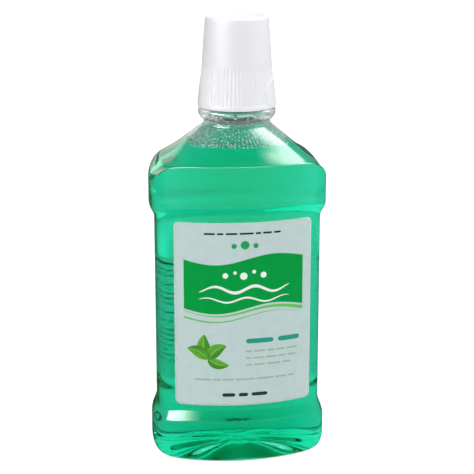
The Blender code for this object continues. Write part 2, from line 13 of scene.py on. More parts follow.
import bmesh
import bpy
import numpy as np
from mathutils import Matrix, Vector


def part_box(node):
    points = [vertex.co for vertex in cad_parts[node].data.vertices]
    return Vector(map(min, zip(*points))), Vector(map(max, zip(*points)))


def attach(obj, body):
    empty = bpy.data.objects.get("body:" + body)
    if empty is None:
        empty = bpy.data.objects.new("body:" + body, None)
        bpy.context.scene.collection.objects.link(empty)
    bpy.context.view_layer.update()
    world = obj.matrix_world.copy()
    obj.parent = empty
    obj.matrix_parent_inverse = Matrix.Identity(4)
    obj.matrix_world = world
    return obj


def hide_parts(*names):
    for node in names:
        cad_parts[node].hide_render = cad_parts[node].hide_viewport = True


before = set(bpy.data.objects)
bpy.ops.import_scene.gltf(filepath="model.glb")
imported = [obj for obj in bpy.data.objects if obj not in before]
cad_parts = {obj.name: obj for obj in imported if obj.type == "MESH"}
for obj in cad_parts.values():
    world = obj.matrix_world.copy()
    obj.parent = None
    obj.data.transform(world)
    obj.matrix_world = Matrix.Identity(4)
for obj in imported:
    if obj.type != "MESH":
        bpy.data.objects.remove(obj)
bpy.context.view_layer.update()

MM = 0.001
QUARTER = 0.5 * math.pi
WHITE = (1.0, 1.0, 1.0, 1.0)
BLACK = (0.0, 0.0, 0.0, 1.0)
NEAR_CLEAR = (0.97, 0.99, 0.98, 1.0)
LOG = logging.getLogger("mouthwash_bottle")

Ring = np.ndarray
Piece = bpy.types.Object
Material = bpy.types.Material
Socket = bpy.types.NodeSocket
Feed = Union[Socket, float, tuple]
Spot = Callable[[np.ndarray, np.ndarray], tuple[np.ndarray, np.ndarray]]


class Body(Enum):
    """The moving bodies that pieces ride on."""

    BOTTLE = "bottle"
    CAP = "cap"


class Slot(Enum):
    """The record's material slot names for new pieces; this script gives them to none."""

    PET = "clear_pet"
    LIQUID = "green_liquid"
    FILM = "printed_film"
    CAP = "white_cap"
    CUP = "natural_cup"


class Facing(Enum):
    """The side of the bottle that a label is on, as the sign of its Y."""

    FRONT = -1.0
    BACK = 1.0


class Tree:
    """A node tree, with short calls that add nodes and link or set their inputs."""

    def __init__(self, tree: bpy.types.NodeTree) -> None:
        """Empty the tree of a material, a world or a node group."""
        self.tree = tree
        tree.nodes.clear()

    def add(self, kind: str, inputs: Optional[dict] = None, **settings: object) -> bpy.types.Node:
        """Add a node.

        Args:
            kind: the node's type, without the word ShaderNode.
            inputs: what its inputs hold, by name or number: a value or the socket that feeds it.
            settings: the node's own settings.

        Returns:
            The new node.
        """
        node = self.tree.nodes.new(kind if kind.startswith("Node") else "ShaderNode" + kind)
        for key, value in settings.items():
            setattr(node, key, value)
        for key, value in (inputs or {}).items():
            if isinstance(value, Socket):
                self.tree.links.new(value, node.inputs[key])
            else:
                node.inputs[key].default_value = value
        return node

    def axes(self, output: str = "Object") -> bpy.types.NodeOutputs:
        """X, Y and Z of a texture coordinate."""
        return self.add("SeparateXYZ", {0: self.add("TexCoord").outputs[output]}).outputs

    def math(self, operation: str, *values: Feed) -> Socket:
        """The result of a Math node."""
        return self.add("Math", dict(enumerate(values)), operation=operation).outputs[0]

    def mix(self, factor: Feed, low: Feed, high: Feed) -> Socket:
        """A blend of two colours."""
        return self.add("Mix", {"Factor": factor, 6: low, 7: high}, data_type="RGBA").outputs[2]

    def mix_levels(self, factor: Feed, low: Feed, high: Feed) -> Socket:
        """A blend of two numbers."""
        return self.add("Mix", {"Factor": factor, 2: low, 3: high}, data_type="FLOAT").outputs[0]

    def ramp(self, value: Socket, begin: float, end: float, low: Feed = 0.0, high: Feed = 1.0,
             kind: str = "SMOOTHSTEP") -> Socket:
        """Map a value to another range, level beyond its ends.

        Args:
            value: the value.
            begin: where the change begins.
            end: where it ends.
            low: the result up to the beginning.
            high: the result from the end on.
            kind: SMOOTHSTEP for eased ends, or LINEAR.

        Returns:
            The result.
        """
        return self.add("MapRange", {
            "Value": value, "From Min": begin, "From Max": end, "To Min": low, "To Max": high},
            interpolation_type=kind).outputs[0]

    def grain(self, scale: float, low: float, high: float) -> bpy.types.NodeOutputs:
        """The shared grain, as outputs Mask and Value, with its grains per metre and two limits."""
        inputs = {"Scale": scale, "Low": low, "High": high}
        return self.add("Group", inputs, node_tree=grain_group()).outputs

    def bump(self, height: Socket, distance: float = 1.0) -> Socket:
        """The normal of a surface with a fine relief."""
        return self.add("Bump", {"Strength": 1.0, "Distance": distance, "Height": height}).outputs[0]

    def mask_of_depth(self) -> Socket:
        """A value of 1 for rays that have come through something clear."""
        return self.math("GREATER_THAN", self.add("LightPath").outputs["Transmission Depth"], 0.5)

    def mask_of_rays(self, *names: str) -> Socket:
        """A value of 1 for rays of the kinds that the Light Path node names so."""
        path = self.add("LightPath").outputs
        mask = path[names[0]]
        for name in names[1:]:
            mask = self.math("MAXIMUM", mask, path[name])
        return mask

    def finish(self, inputs: dict, clear: Optional[tuple] = None, **others: Socket) -> None:
        """End a material with its shader.

        Args:
            inputs: what the Principled shader's inputs hold.
            clear: the colour in which it lets the lamps' light through, if it does.
            others: other inputs of the material's output, such as its volume.
        """
        surface = self.add("BsdfPrincipled", inputs).outputs[0]
        if clear is not None:
            through = self.add("BsdfTransparent", {"Color": clear}).outputs[0]
            surface = self.add("MixShader", {
                0: self.mask_of_rays("Is Shadow Ray"), 1: surface, 2: through}).outputs[0]
        self.add("OutputMaterial", {"Surface": surface, **others})


def new_material(name: str) -> tuple[Material, Tree]:
    """A new material and its empty node tree."""
    material = bpy.data.materials.new(name)
    material.use_nodes = True
    return material, Tree(material.node_tree)


def grain_group() -> bpy.types.NodeTree:
    """The node group that all finishes share: fine noise as a mask, and between two limits."""
    made = bpy.data.node_groups.get("surface_grain")
    if made is not None:
        return made
    group = bpy.data.node_groups.new("surface_grain", "ShaderNodeTree")
    tree = Tree(group)
    for way, names in (("INPUT", ("Scale", "Low", "High")), ("OUTPUT", ("Mask", "Value"))):
        for name in names:
            group.interface.new_socket(name, in_out=way, socket_type="NodeSocketFloat")
    given = tree.add("NodeGroupInput").outputs
    place = tree.add("TexCoord").outputs["Object"]
    noise = tree.add("TexNoise", {"Vector": place, "Scale": given["Scale"], "Detail": 3.0}).outputs["Fac"]
    value = tree.ramp(noise, 0.3, 0.7, given["Low"], given["High"], "LINEAR")
    tree.add("NodeGroupOutput", {"Mask": noise, "Value": value})
    return group


@dataclass(frozen=True)
class ClearPlastic:
    """Clear glossy PET: a slightly wavy blown wall with a parting line down each side."""

    name: str = "clear_pet_wall"
    color: tuple = NEAR_CLEAR
    index: float = 1.57
    wave_scale: float = 70.0
    wave_depth: float = 0.00004
    line_width: float = 0.00012
    line_depth: float = 0.00005
    gloss: tuple = WHITE
    haze: tuple = (0.008, 0.035)
    drop_scale: float = 1000.0
    drop_depth: float = 0.0
    film_and_shade_color: tuple = NEAR_CLEAR
    film_ends: tuple = (0.156, 0.172)

    def material(self) -> Material:
        """Glass-like plastic that lets lamps through, with drops on it if they have a depth."""
        material, tree = new_material(self.name)
        place = tree.axes()
        line = tree.ramp(
            tree.math("ABSOLUTE", place["Y"]), 0.0, self.line_width, self.line_depth, 0.0)
        height = tree.math("ADD", tree.grain(self.wave_scale, 0.0, self.wave_depth)["Value"], line)
        if self.drop_depth > 0.0:
            cells = tree.add("TexVoronoi", {
                "Vector": tree.add("TexCoord").outputs["Object"], "Scale": self.drop_scale})
            dome = tree.ramp(cells.outputs["Distance"], 0.05, 0.5, self.drop_depth, 0.0)
            height = tree.math("ADD", height, dome)
        # Painted shade: near the liquid the wall takes a green film colour. It is a real liquid film, made
        # darker to stand in for shade, and it fades to clear higher up.
        fade = tree.ramp(place["Z"], *self.film_ends, kind="LINEAR")
        tree.finish({
            "Base Color": tree.mix(fade, self.film_and_shade_color, self.color),
            "Roughness": tree.grain(self.wave_scale * 20.0, *self.haze)["Value"], "IOR": self.index,
            # Specular Tint: white outside, black where liquid touches, and a painted green reflection tint
            # on the misted wall.
            "Specular Tint": self.gloss, "Transmission Weight": 1.0, "Normal": tree.bump(height)},
            NEAR_CLEAR)
        return material


@dataclass(frozen=True)
class TintedLiquid:
    """Clear liquid that takes light off by its depth."""

    name: str
    tint: tuple
    density: float
    index: float = 1.333

    def material(self) -> Material:
        """A clear surface that lets lamps through, filled with a plain absorption."""
        material, tree = new_material(self.name)
        inside = tree.add("VolumeAbsorption", {"Color": self.tint, "Density": self.density})
        tree.finish({
            "Base Color": WHITE, "Roughness": 0.0, "IOR": self.index, "Specular Tint": BLACK,
            "Transmission Weight": 1.0,
            "Normal": tree.bump(tree.grain(90.0, 0.0, 0.00004)["Value"])},
            WHITE, Volume=inside.outputs[0])
        return material


@dataclass(frozen=True)
class Froth:
    """Small bubbles and drops, which scatter part of the light."""

    name: str
    color: tuple
    clearness: float
    pale: tuple = (0.92, 0.98, 0.96, 1.0)

    def material(self) -> Material:
        """A half clear, glossy finish that drifts from bead to bead."""
        material, tree = new_material(self.name)
        tree.finish({
            "Base Color": tree.mix(tree.grain(900.0, 0.0, 1.0)["Value"], self.color, self.pale),
            "Roughness": tree.grain(2400.0, 0.04, 0.14)["Value"], "IOR": 1.333,
            "Transmission Weight": self.clearness})
        return material


@dataclass(frozen=True)
class Moulded:
    """An opaque finish: colour that drifts a little, grained roughness and a fine bump."""

    name: str
    color: tuple
    drift: tuple
    drift_scale: float
    roughness: tuple
    grain_scale: float
    grain_depth: float
    specular: float = 0.5
    inner_glow: float = 0.0
    glow_reach: float = 0.002
    clear_above: float = 1.0
    clear_edge: float = 0.0001

    def material(self) -> Material:
        """The finish, which is nearly clear film above the height clear_above."""
        material, tree = new_material(self.name)
        fine = tree.grain(self.grain_scale, *self.roughness)
        cover = tree.ramp(
            tree.axes()["Z"], self.clear_above - self.clear_edge, self.clear_above + self.clear_edge,
            1.0, 0.08, "LINEAR")
        tree.finish({
            "Base Color": tree.mix(
                tree.grain(self.drift_scale, 0.0, 1.0)["Value"], (*self.color, 1.0), (*self.drift, 1.0)),
            "Roughness": fine["Value"], "Specular IOR Level": self.specular, "Alpha": cover,
            "Normal": tree.bump(fine["Mask"], self.grain_depth),
            "Subsurface Weight": self.inner_glow, "Subsurface Radius": (1.0, 1.0, 1.0),
            "Subsurface Scale": self.glow_reach})
        return material


@dataclass(frozen=True)
class LeafInk:
    """A printed leaf: two greens across it, with a pale midrib and side veins, by its UV map."""

    name: str = "printed_leaf"
    deep: tuple = (0.020, 0.200, 0.012, 1.0)
    bright: tuple = (0.110, 0.420, 0.025, 1.0)
    vein: tuple = (0.260, 0.560, 0.110, 1.0)
    veins: float = 9.0
    shade_end: float = 0.45
    rib_strength: float = 0.45
    rib_from: float = 0.75
    midrib: tuple = (0.02, 0.06)
    midrib_strength: float = 0.9

    def material(self) -> Material:
        """The leaf's ink."""
        material, tree = new_material(self.name)
        uv = tree.axes("UV")
        side = tree.math("SUBTRACT", uv["Y"], 0.5)
        off = tree.math("ABSOLUTE", side)
        shade = tree.ramp(side, -self.shade_end, self.shade_end, kind="LINEAR")
        body = tree.mix(shade, self.deep, self.bright)
        slant = tree.math("SUBTRACT", uv["X"], off)
        crest = tree.math("SINE", tree.math("MULTIPLY", slant, self.veins * math.tau))
        rib = tree.ramp(crest, self.rib_from, 1.0, 0.0, self.rib_strength, "LINEAR")
        middle = tree.ramp(off, *self.midrib, self.midrib_strength, 0.0, "LINEAR")
        tree.finish({
            "Base Color": tree.mix(tree.math("MAXIMUM", rib, middle), body, self.vein),
            "Roughness": tree.grain(3000.0, 0.30, 0.42)["Value"], "Specular IOR Level": 0.2})
        return material


def ink(name: str, color: tuple) -> Material:
    """A flat printing ink of a red, green and blue, a little uneven in strength."""
    made = bpy.data.materials.get(name)
    if made is not None:
        return made
    lighter = tuple(min(1.0, part * 1.06 + 0.001) for part in color)
    return Moulded(
        name, color, lighter, 260.0, (0.28, 0.40), 3200.0, 0.000004, specular=0.08).material()


def deselect_all() -> None:
    """Leave edit mode and deselect everything."""
    if bpy.context.mode != "OBJECT":
        bpy.ops.object.mode_set(mode="OBJECT")
    bpy.ops.object.select_all(action="DESELECT")


def select_only(piece: Piece) -> None:
    """Select one object and make it active."""
    deselect_all()
    piece.select_set(True)
    bpy.context.view_layer.objects.active = piece


def edit_all(piece: Piece) -> None:
    """Enter edit mode on one object, with all of it selected."""
    select_only(piece)
    bpy.ops.object.mode_set(mode="EDIT")
    bpy.ops.mesh.select_all(action="SELECT")


def rename(piece: Piece, name: str) -> Piece:
    """Name an object and its data."""
    piece.name = name
    piece.data.name = name
    return piece


def apply_modifier(piece: Piece, kind: str, **settings: object) -> None:
    """Add a modifier of a kind, with its settings, and apply it."""
    select_only(piece)
    modifier = piece.modifiers.new(kind.lower(), kind)
    for key, value in settings.items():
        setattr(modifier, key, value)
    bpy.ops.object.modifier_apply(modifier=modifier.name)


def smooth(piece: Piece, angle: float) -> None:
    """Shade a piece smooth up to an angle in degrees."""
    select_only(piece)
    bpy.ops.object.shade_smooth_by_angle(angle=math.radians(angle))


def join(pieces: list[Piece], name: str) -> Piece:
    """Join pieces into one of that name."""
    select_only(pieces[0])
    for piece in pieces[1:]:
        piece.select_set(True)
    if len(pieces) > 1:
        bpy.ops.object.join()
    return rename(pieces[0], name)


def dress(piece: Piece, material: Material, body: Body, node: Optional[str] = None) -> None:
    """Give a finished piece its material, its body and the node that it stands for.

    Args:
        piece: the finished mesh object.
        material: its finish.
        body: the body that it rides on.
        node: the CAD node that it replaces, if any.
    """
    piece.data.materials.clear()
    piece.data.materials.append(material)
    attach(piece, body.value)
    if node is not None:
        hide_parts(node)
    LOG.info("%s: %d faces, on body %s", piece.name, len(piece.data.polygons), body.value)


class RingStack:
    """A skin shaped in edit mode: a circle is added, then extruded and fitted ring by ring."""

    def __init__(self, name: str, rings: list[Ring]) -> None:
        """Shape the whole skin over rings with as many points each, and close both ends."""
        deselect_all()
        bpy.ops.mesh.primitive_circle_add(
            vertices=len(rings[0]), radius=float(np.abs(rings[0]).max()),
            location=Vector(rings[0].mean(axis=0)))
        self.piece = rename(bpy.context.active_object, name)
        bpy.ops.object.transform_apply(location=True, rotation=True, scale=True)
        bpy.ops.object.mode_set(mode="EDIT")
        bpy.ops.mesh.select_mode(type="VERT")
        bpy.ops.mesh.select_all(action="SELECT")
        shape = bmesh.from_edit_mesh(self.piece.data)
        column = shape.verts.layers.int.new("column")
        for index, vertex in enumerate(shape.verts):
            vertex[column] = index
        self.fit(rings[0])
        for ring in rings[1:]:
            self.extrude()
            self.fit(ring)
        self.close_pole()
        bpy.ops.mesh.select_all(action="DESELECT")
        bpy.ops.mesh.select_non_manifold()
        self.close_pole()
        bpy.ops.object.mode_set(mode="OBJECT")
        self.piece.data.attributes.remove(self.piece.data.attributes["column"])
        edit_all(self.piece)
        bpy.ops.mesh.normals_make_consistent(inside=False)
        bpy.ops.object.mode_set(mode="OBJECT")

    def fit(self, ring: Ring) -> None:
        """Move the selected points to their places on a ring."""
        shape = bmesh.from_edit_mesh(self.piece.data)
        column = shape.verts.layers.int["column"]
        for vertex in shape.verts:
            if vertex.select:
                vertex.co = ring[vertex[column]]
        bmesh.update_edit_mesh(self.piece.data, loop_triangles=False)

    def extrude(self) -> None:
        """Extrude the selected ring in its place."""
        bpy.ops.mesh.extrude_region_move(TRANSFORM_OT_translate={"value": (0.0, 0.0, 0.0)})

    def close_pole(self) -> None:
        """Extrude the selected ring and draw it together in one point."""
        self.extrude()
        bpy.ops.mesh.merge(type="CENTER")


def skin(name: str, rings: list[Ring], angle: float) -> Piece:
    """A closed skin over rings, subdivided once and shaded smooth up to an angle in degrees."""
    piece = RingStack(name, rings).piece
    apply_modifier(piece, "SUBSURF", levels=1, render_levels=1, use_limit_surface=False)
    smooth(piece, angle)
    return piece


def angles(columns: int) -> np.ndarray:
    """The angles of a ring's points."""
    return np.arange(columns) * math.tau / columns


def off_pair(turn: np.ndarray, middle: float) -> np.ndarray:
    """Angles from the nearer of two opposite places."""
    return (turn - middle + QUARTER) % math.pi - QUARTER


def circle(radius: Union[float, np.ndarray], height: float, columns: int) -> Ring:
    """A ring about the Z axis, with one radius or a radius for each of its points."""
    turn = angles(columns)
    return np.stack((radius * np.cos(turn), radius * np.sin(turn), np.full(columns, height)), axis=1)


def circles(columns: int, *places: tuple) -> list[Ring]:
    """Round rings about the Z axis, from pairs of a radius and a height."""
    return [circle(radius, height, columns) for radius, height in places]


def rounding(radius: float, height: float, size: float, shares: Iterable[float]) -> list[tuple]:
    """Pairs of a radius and a height down a round outer edge.

    Args:
        radius: the radius under the edge.
        height: the height of the flat inside it.
        size: the edge's own radius.
        shares: places along it, from 0 at the flat to 1.

    Returns:
        The pairs.
    """
    return [(radius - size * (1.0 - math.sin(QUARTER * share)),
             height - size * (1.0 - math.cos(QUARTER * share))) for share in shares]


def supported(rings: list[Ring], reach: float) -> list[Ring]:
    """Add a loop close to each side of every ring, so that subdivision keeps its corner tight.

    Args:
        rings: the rings of a skin.
        reach: the distance of the added loops.

    Returns:
        The rings with their support loops.
    """
    out = [rings[0]]
    for before, here, after in zip(rings, rings[1:], rings[2:]):
        loops = []
        for other in (before, after):
            gap = float(np.linalg.norm(other - here, axis=1).max())
            loops.append([here + (other - here) * (reach / gap)] if gap > 2.5 * reach else [])
        out += loops[0] + [here] + loops[1]
    return out + [rings[-1]]


def inset(rings: list[Ring], distance: float) -> list[Ring]:
    """Move the rings of a skin, given from top to bottom, square to it and inwards."""
    stack = np.array(rings)
    across = np.roll(stack, -1, axis=1) - np.roll(stack, 1, axis=1)
    normal = np.cross(across, np.gradient(stack, axis=0))
    normal /= np.maximum(np.linalg.norm(normal, axis=2, keepdims=True), 1e-12)
    return list(stack + distance * normal)


def blend(low: float, high: float, share: float) -> float:
    """Value a share of the way from low to high."""
    return low + (high - low) * share


def ease(share: float) -> float:
    """Ease in and out between 0 and 1."""
    return share * share * (3.0 - 2.0 * share)


def bowed_reach(middle: float, toward: np.ndarray, away: np.ndarray, bow: float) -> np.ndarray:
    """Reach from the axis to a shallow bowed side.

    Args:
        middle: the side's distance at its middle.
        toward: the part of each direction that points at the side's middle.
        away: the other part, over the side's half length.
        bow: how far the side falls back at its ends, as a share of its distance.

    Returns:
        The reach in each direction.
    """
    return 2.0 * middle / (toward + np.sqrt(toward ** 2 + 4.0 * bow * (middle * away) ** 2))


@dataclass(frozen=True)
class Level:
    """One level of the blown wall: half sizes and heights at its sides and in front.

    A squareness of 0 is a plain ellipse. At 1, shallow bows in front, behind and at the sides meet
    in tight corners.
    """

    side_r: float
    side_z: float
    front_r: float
    front_z: float
    squareness: float
    rise_power: float = 5.0
    flute: float = 0.0
    flutes: int = 10
    front_bow: float = 0.373
    side_bow: float = 0.10
    corner_power: float = 12.0
    crowding: float = 0.125

    def ring(self, columns: int) -> Ring:
        """The level as points that crowd at its corners, and whose front runs above its sides."""
        turn = angles(columns)
        crowded = turn + self.crowding * np.sin(4.0 * turn)
        angle = np.arctan2(self.front_r * np.sin(crowded), self.side_r * np.cos(crowded))
        across = np.abs(np.cos(angle))
        along = np.abs(np.sin(angle))
        front = bowed_reach(self.front_r, along, across / self.side_r, self.front_bow)
        side = bowed_reach(self.side_r, across, along / self.front_r, self.side_bow)
        power = self.corner_power
        square = (front ** -power + side ** -power) ** (-1.0 / power)
        oval = 1.0 / np.hypot(across / self.side_r, along / self.front_r)
        reach = oval + (square - oval) * self.squareness
        x = reach * np.cos(angle)
        share = 1.0 - np.minimum(1.0, np.abs(x) / self.side_r) ** self.rise_power
        z = self.side_z + (self.front_z - self.side_z) * share + self.flute * np.cos(self.flutes * turn)
        return np.stack((x, reach * np.sin(angle), z), axis=1)


@dataclass(frozen=True)
class Thread:
    """A right-handed screw thread, which rises counter-clockwise."""

    start: float
    pitch: float = 4.23 * MM
    turns: float = 1.6
    base_half: float = 0.95 * MM
    crest_half: float = 0.30 * MM
    fade: float = 0.35

    def ridge(self, height: float, columns: int) -> np.ndarray:
        """How far the thread stands out round a ring at one height, as a share of its depth."""
        turn = angles(columns)
        along = (height - self.start) / self.pitch * math.tau
        total = turn + math.tau * np.round((along - turn) / math.tau)
        total = np.clip(total, 0.0, self.turns * math.tau)
        off = np.abs(height - self.start - self.pitch * total / math.tau)
        share = np.clip((self.base_half - off) / (self.base_half - self.crest_half), 0.0, 1.0)
        ends = np.minimum(total, self.turns * math.tau - total) / self.fade
        same = np.abs((total - turn + math.pi) % math.tau - math.pi) < 1e-6
        return ease(share) * np.clip(ends, 0.0, 1.0) * same


@dataclass
class Bottle:
    """The blown bottle, whose outer sizes come from the frame."""

    columns: int = 120
    fine_columns: int = 4096
    wall: float = 0.6 * MM
    panel_side_inset: float = 2.5 * MM
    panel_front_inset: float = 1.9 * MM
    foot_inset: float = 2.1 * MM
    facet_side_inset: float = 5.4 * MM
    facet_front_inset: float = 0.8 * MM
    crease_inset: float = 0.3 * MM
    foot_edge: float = 6.0 * MM
    base_band: float = 9.0 * MM
    base_taper: float = 9.8 * MM
    panel: float = 88.5 * MM
    top_taper: float = 7.0 * MM
    shoulder_band: float = 11.2 * MM
    facet: float = 9.2 * MM
    shoulder: float = 16.4 * MM
    base_band_rise: float = 4.5 * MM
    panel_foot_rise: float = 2.0 * MM
    panel_top_rise: float = 5.2 * MM
    top_taper_rise: float = 4.0 * MM
    shoulder_line_rise: float = 10.9 * MM
    facet_top_rise: float = 2.6 * MM
    foot_squareness: float = 0.7
    shoulder_squaring: float = 1.25
    shoulder_overlap: float = 0.8 * MM
    hollow: float = 1.0 * MM
    support: float = 0.9 * MM
    neck_radius: float = 15.0 * MM
    neck_step: float = 0.5 * MM
    neck_height: float = 1.6 * MM
    bead_reach: float = 2.8 * MM
    bead_rise: float = 3.4 * MM
    bead_side: float = 1.2 * MM
    bead_round: float = 1.2 * MM
    finish_radius: float = 12.9 * MM
    finish_wall: float = 1.7 * MM
    lip_round: float = 0.4 * MM
    thread_depth: float = 0.85 * MM
    thread_start: float = 168.7 * MM
    first_step: float = 1.0 * MM
    thread_step: float = 0.4 * MM
    lug_reach: float = 1.6 * MM
    lug_height: float = 1.6 * MM
    lug_slope: float = 0.3 * MM
    lug_half_angle: float = math.radians(6.6)
    lug_turn: float = math.radians(74.0)
    ring_width: float = 2.6 * MM
    push_up: float = 3.6 * MM
    flute_depth: float = 0.75 * MM
    gate_radius: float = 5.0 * MM
    gate_height: float = 0.9 * MM
    misted_haze: tuple = (0.04, 0.20)
    mist_depth: float = 0.00022
    # Painted reflection: a green tint on the misted wall's reflections.
    mist_painted_reflection_tint: tuple = (0.35, 0.70, 0.60, 1.0)
    # Green liquid film on the misted wall, made darker as painted shade as well.
    mist_film_and_shade_color: tuple = (0.03, 0.30, 0.21, 1.0)

    def __post_init__(self) -> None:
        """Read the outer sizes from the frame and work out the heights."""
        self.half_width, self.half_depth, self.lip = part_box("bottle")[1]
        self.base_band_top = self.foot_edge + self.base_band
        self.panel_foot = self.base_band_top + self.base_taper
        self.panel_top = self.panel_foot + self.panel
        self.band_foot = self.panel_top + self.top_taper
        self.shoulder_line = self.band_foot + self.shoulder_band
        self.facet_top = self.shoulder_line + self.facet
        self.neck_foot = self.facet_top + self.shoulder
        self.bead_foot = self.neck_foot + self.neck_height
        self.bead_top = self.bead_foot + self.bead_rise + self.bead_side + self.bead_round

    def level(self, *sizes: float) -> Ring:
        """A ring of the body from a level's sizes, in their order there."""
        return Level(*sizes).ring(self.columns)

    def panel_depth(self, x: np.ndarray, outset: float) -> np.ndarray:
        """Depth of the label panel at places across it, at a distance from its wall."""
        side = self.half_width - self.panel_side_inset + outset
        front = self.half_depth - self.panel_front_inset + outset
        ring = Level(side, 0.0, front, 0.0, 1.0).ring(self.fine_columns)
        half = ring[ring[:, 1] >= 0.0][::-1]
        return np.interp(x, half[:, 0], half[:, 1])

    def shoulder_rings(self) -> list[Ring]:
        """The slope from the neck down to the facets, and the facets down to the crease."""
        start = self.neck_radius + self.neck_step + self.shoulder_overlap
        start_z = self.neck_foot - self.shoulder_overlap
        side = self.half_width - self.facet_side_inset
        front = self.half_depth - self.facet_front_inset
        front_top = self.facet_top + self.facet_top_rise
        rings = []
        for share in np.linspace(0.0, 1.0, 12):
            hollow = self.hollow * math.sin(math.pi * share ** 2.2)
            rings.append(self.level(
                blend(start, side, share) - hollow, blend(start_z, self.facet_top, share),
                blend(start, front, share) - hollow, blend(start_z, front_top, share),
                min(1.0, self.shoulder_squaring * share), 10.0))
        line = self.shoulder_line + self.shoulder_line_rise
        for share, side_share, front_share in (
                (0.4, 0.58, 0.62), (0.75, 0.18, 0.25), (0.92, 0.04, 0.04), (1.0, 0.0, 0.0)):
            rings.append(self.level(
                self.half_width - self.facet_side_inset * side_share,
                blend(self.facet_top, self.shoulder_line, share),
                self.half_depth - self.facet_front_inset * front_share,
                blend(front_top, line - self.crease_inset, share), 1.0, 10.0))
        return rings

    def taper_rings(self, shares: tuple, side: tuple, front: tuple) -> list[Ring]:
        """The eased step between a band and the panel.

        Args:
            shares: how far the first and the last ring are drawn in to the panel.
            side: their heights at the sides.
            front: their heights in front.

        Returns:
            The rings.
        """
        rings = []
        for share in np.linspace(0.0, 1.0, 9):
            drawn = blend(*shares, ease(share))
            rings.append(self.level(
                self.half_width - self.panel_side_inset * drawn, blend(*side, share),
                self.half_depth - self.panel_front_inset * drawn, blend(*front, share), 1.0))
        return rings

    def base_rings(self) -> list[Ring]:
        """The rounded foot, the ring that it stands on, and the fluted push-up with its gate."""
        rings = []
        for share in np.linspace(0.0, 1.0, 7):
            turn = QUARTER * share
            drawn = self.foot_inset * (1.0 - math.cos(turn))
            height = self.foot_edge * (1.0 - math.sin(turn))
            rings.append(self.level(
                self.half_width - drawn, height, self.half_depth - drawn, height,
                blend(1.0, self.foot_squareness, share)))
        side = self.half_width - self.foot_inset - self.ring_width
        front = self.half_depth - self.foot_inset - self.ring_width
        rings.append(self.level(side, 0.0, front, 0.0, self.foot_squareness))
        for share in (0.06, 0.15, 0.3, 0.45, 0.62, 0.78, 0.92):
            height = self.push_up * math.sin(QUARTER * share)
            rings.append(self.level(
                blend(side, self.gate_radius, share), height, blend(front, self.gate_radius, share),
                height, blend(self.foot_squareness, 0.0, share), 5.0,
                self.flute_depth * math.sin(math.pi * share ** 0.7)))
        return rings + circles(self.columns, (self.gate_radius, self.push_up))

    def body_rings(self) -> list[Ring]:
        """The blown body from the neck's foot down to the gate, with support loops."""
        top = self.taper_rings(
            (0.0, 1.0), (self.band_foot, self.panel_top),
            (self.band_foot + self.top_taper_rise, self.panel_top + self.panel_top_rise))
        low = self.taper_rings(
            (1.0, 0.0), (self.panel_foot, self.base_band_top),
            (self.panel_foot + self.panel_foot_rise, self.base_band_top + self.base_band_rise))
        return supported(self.shoulder_rings() + top + low + self.base_rings(), self.support)

    def finish_ring(self, height: float) -> Ring:
        """The finish at one height, with its thread and child-resistant lugs."""
        radii = self.finish_radius + self.thread_depth * Thread(self.thread_start).ridge(
            height, self.columns)
        off = off_pair(angles(self.columns), self.lug_turn)
        ramp = np.where(off < 0.0, 1.0 + off / self.lug_half_angle, 1.0)
        ramp = ramp * (np.abs(off) <= self.lug_half_angle)
        rise = np.clip((self.bead_top + self.lug_height - height) / self.lug_slope, 0.0, 1.0)
        radii = np.maximum(radii, self.finish_radius + self.lug_reach * ramp * rise)
        return circle(radii, height, self.columns)

    def neck_rings(self) -> list[Ring]:
        """The outside of the finish, the bead and the neck, from the lip down."""
        lip = circles(
            self.columns, (self.finish_radius - self.lip_round, self.lip),
            (self.finish_radius - 0.3 * self.lip_round, self.lip - 0.3 * self.lip_round),
            (self.finish_radius, self.lip - self.lip_round))
        heights = np.arange(
            self.lip - self.first_step, self.bead_top + self.lug_slope, -self.thread_step)
        finish = [self.finish_ring(height) for height in (*heights, self.bead_top)]
        bead = self.neck_radius + self.bead_reach
        middle = self.bead_foot + self.bead_rise
        return lip + finish + circles(
            self.columns, (bead - 1.8 * self.bead_round, self.bead_top),
            *rounding(bead, self.bead_top, self.bead_round, (0.0, 0.35, 0.7, 1.0)), (bead, middle),
            (bead - 0.12 * self.bead_reach, middle - 0.28 * self.bead_rise),
            (blend(self.neck_radius, bead, 0.62), middle - 0.6 * self.bead_rise),
            (blend(self.neck_radius, bead, 0.16), middle - 0.88 * self.bead_rise),
            (self.neck_radius, self.bead_foot), (self.neck_radius, self.neck_foot + 1.0 * MM),
            (self.neck_radius + 0.8 * self.neck_step, self.neck_foot + 0.8 * MM),
            (self.neck_radius + self.neck_step, self.neck_foot + 0.5 * MM),
            (self.neck_radius + self.neck_step, self.neck_foot))

    def inner_rings(self) -> list[Ring]:
        """The inside of the bottle, from the lip down."""
        bore = self.finish_radius - self.finish_wall
        last = self.neck_radius + self.neck_step - self.wall
        flare = self.bead_foot + 4.2 * MM
        return circles(
            self.columns, (bore + self.lip_round, self.lip),
            (bore + 0.3 * self.lip_round, self.lip - 0.3 * self.lip_round),
            (bore, self.lip - self.lip_round), (bore, self.bead_foot + 6.0 * MM), (bore, flare),
            *((blend(bore, last, ease(share)), blend(flare, self.neck_foot, share))
              for share in (0.3, 0.6, 0.85, 1.0))) + inset(self.body_rings(), self.wall)

    def build(self) -> None:
        """Shape the bottle as one closed skin, from the gate inside over the lip to the gate outside."""
        inside = self.inner_rings()
        well = circles(self.columns, (0.3 * self.gate_radius, float(inside[-1][0][2])))
        gate = circles(
            self.columns, (0.62 * self.gate_radius, self.push_up - 0.3 * self.gate_height),
            (0.5 * self.gate_radius, self.push_up - self.gate_height),
            (0.2 * self.gate_radius, self.push_up - self.gate_height))
        rings = well + inside[::-1] + self.neck_rings() + self.body_rings() + gate
        piece = skin("blown_bottle", rings, 60.0)
        dress(piece, ClearPlastic().material(), Body.BOTTLE, "bottle")
        self.wet(piece)

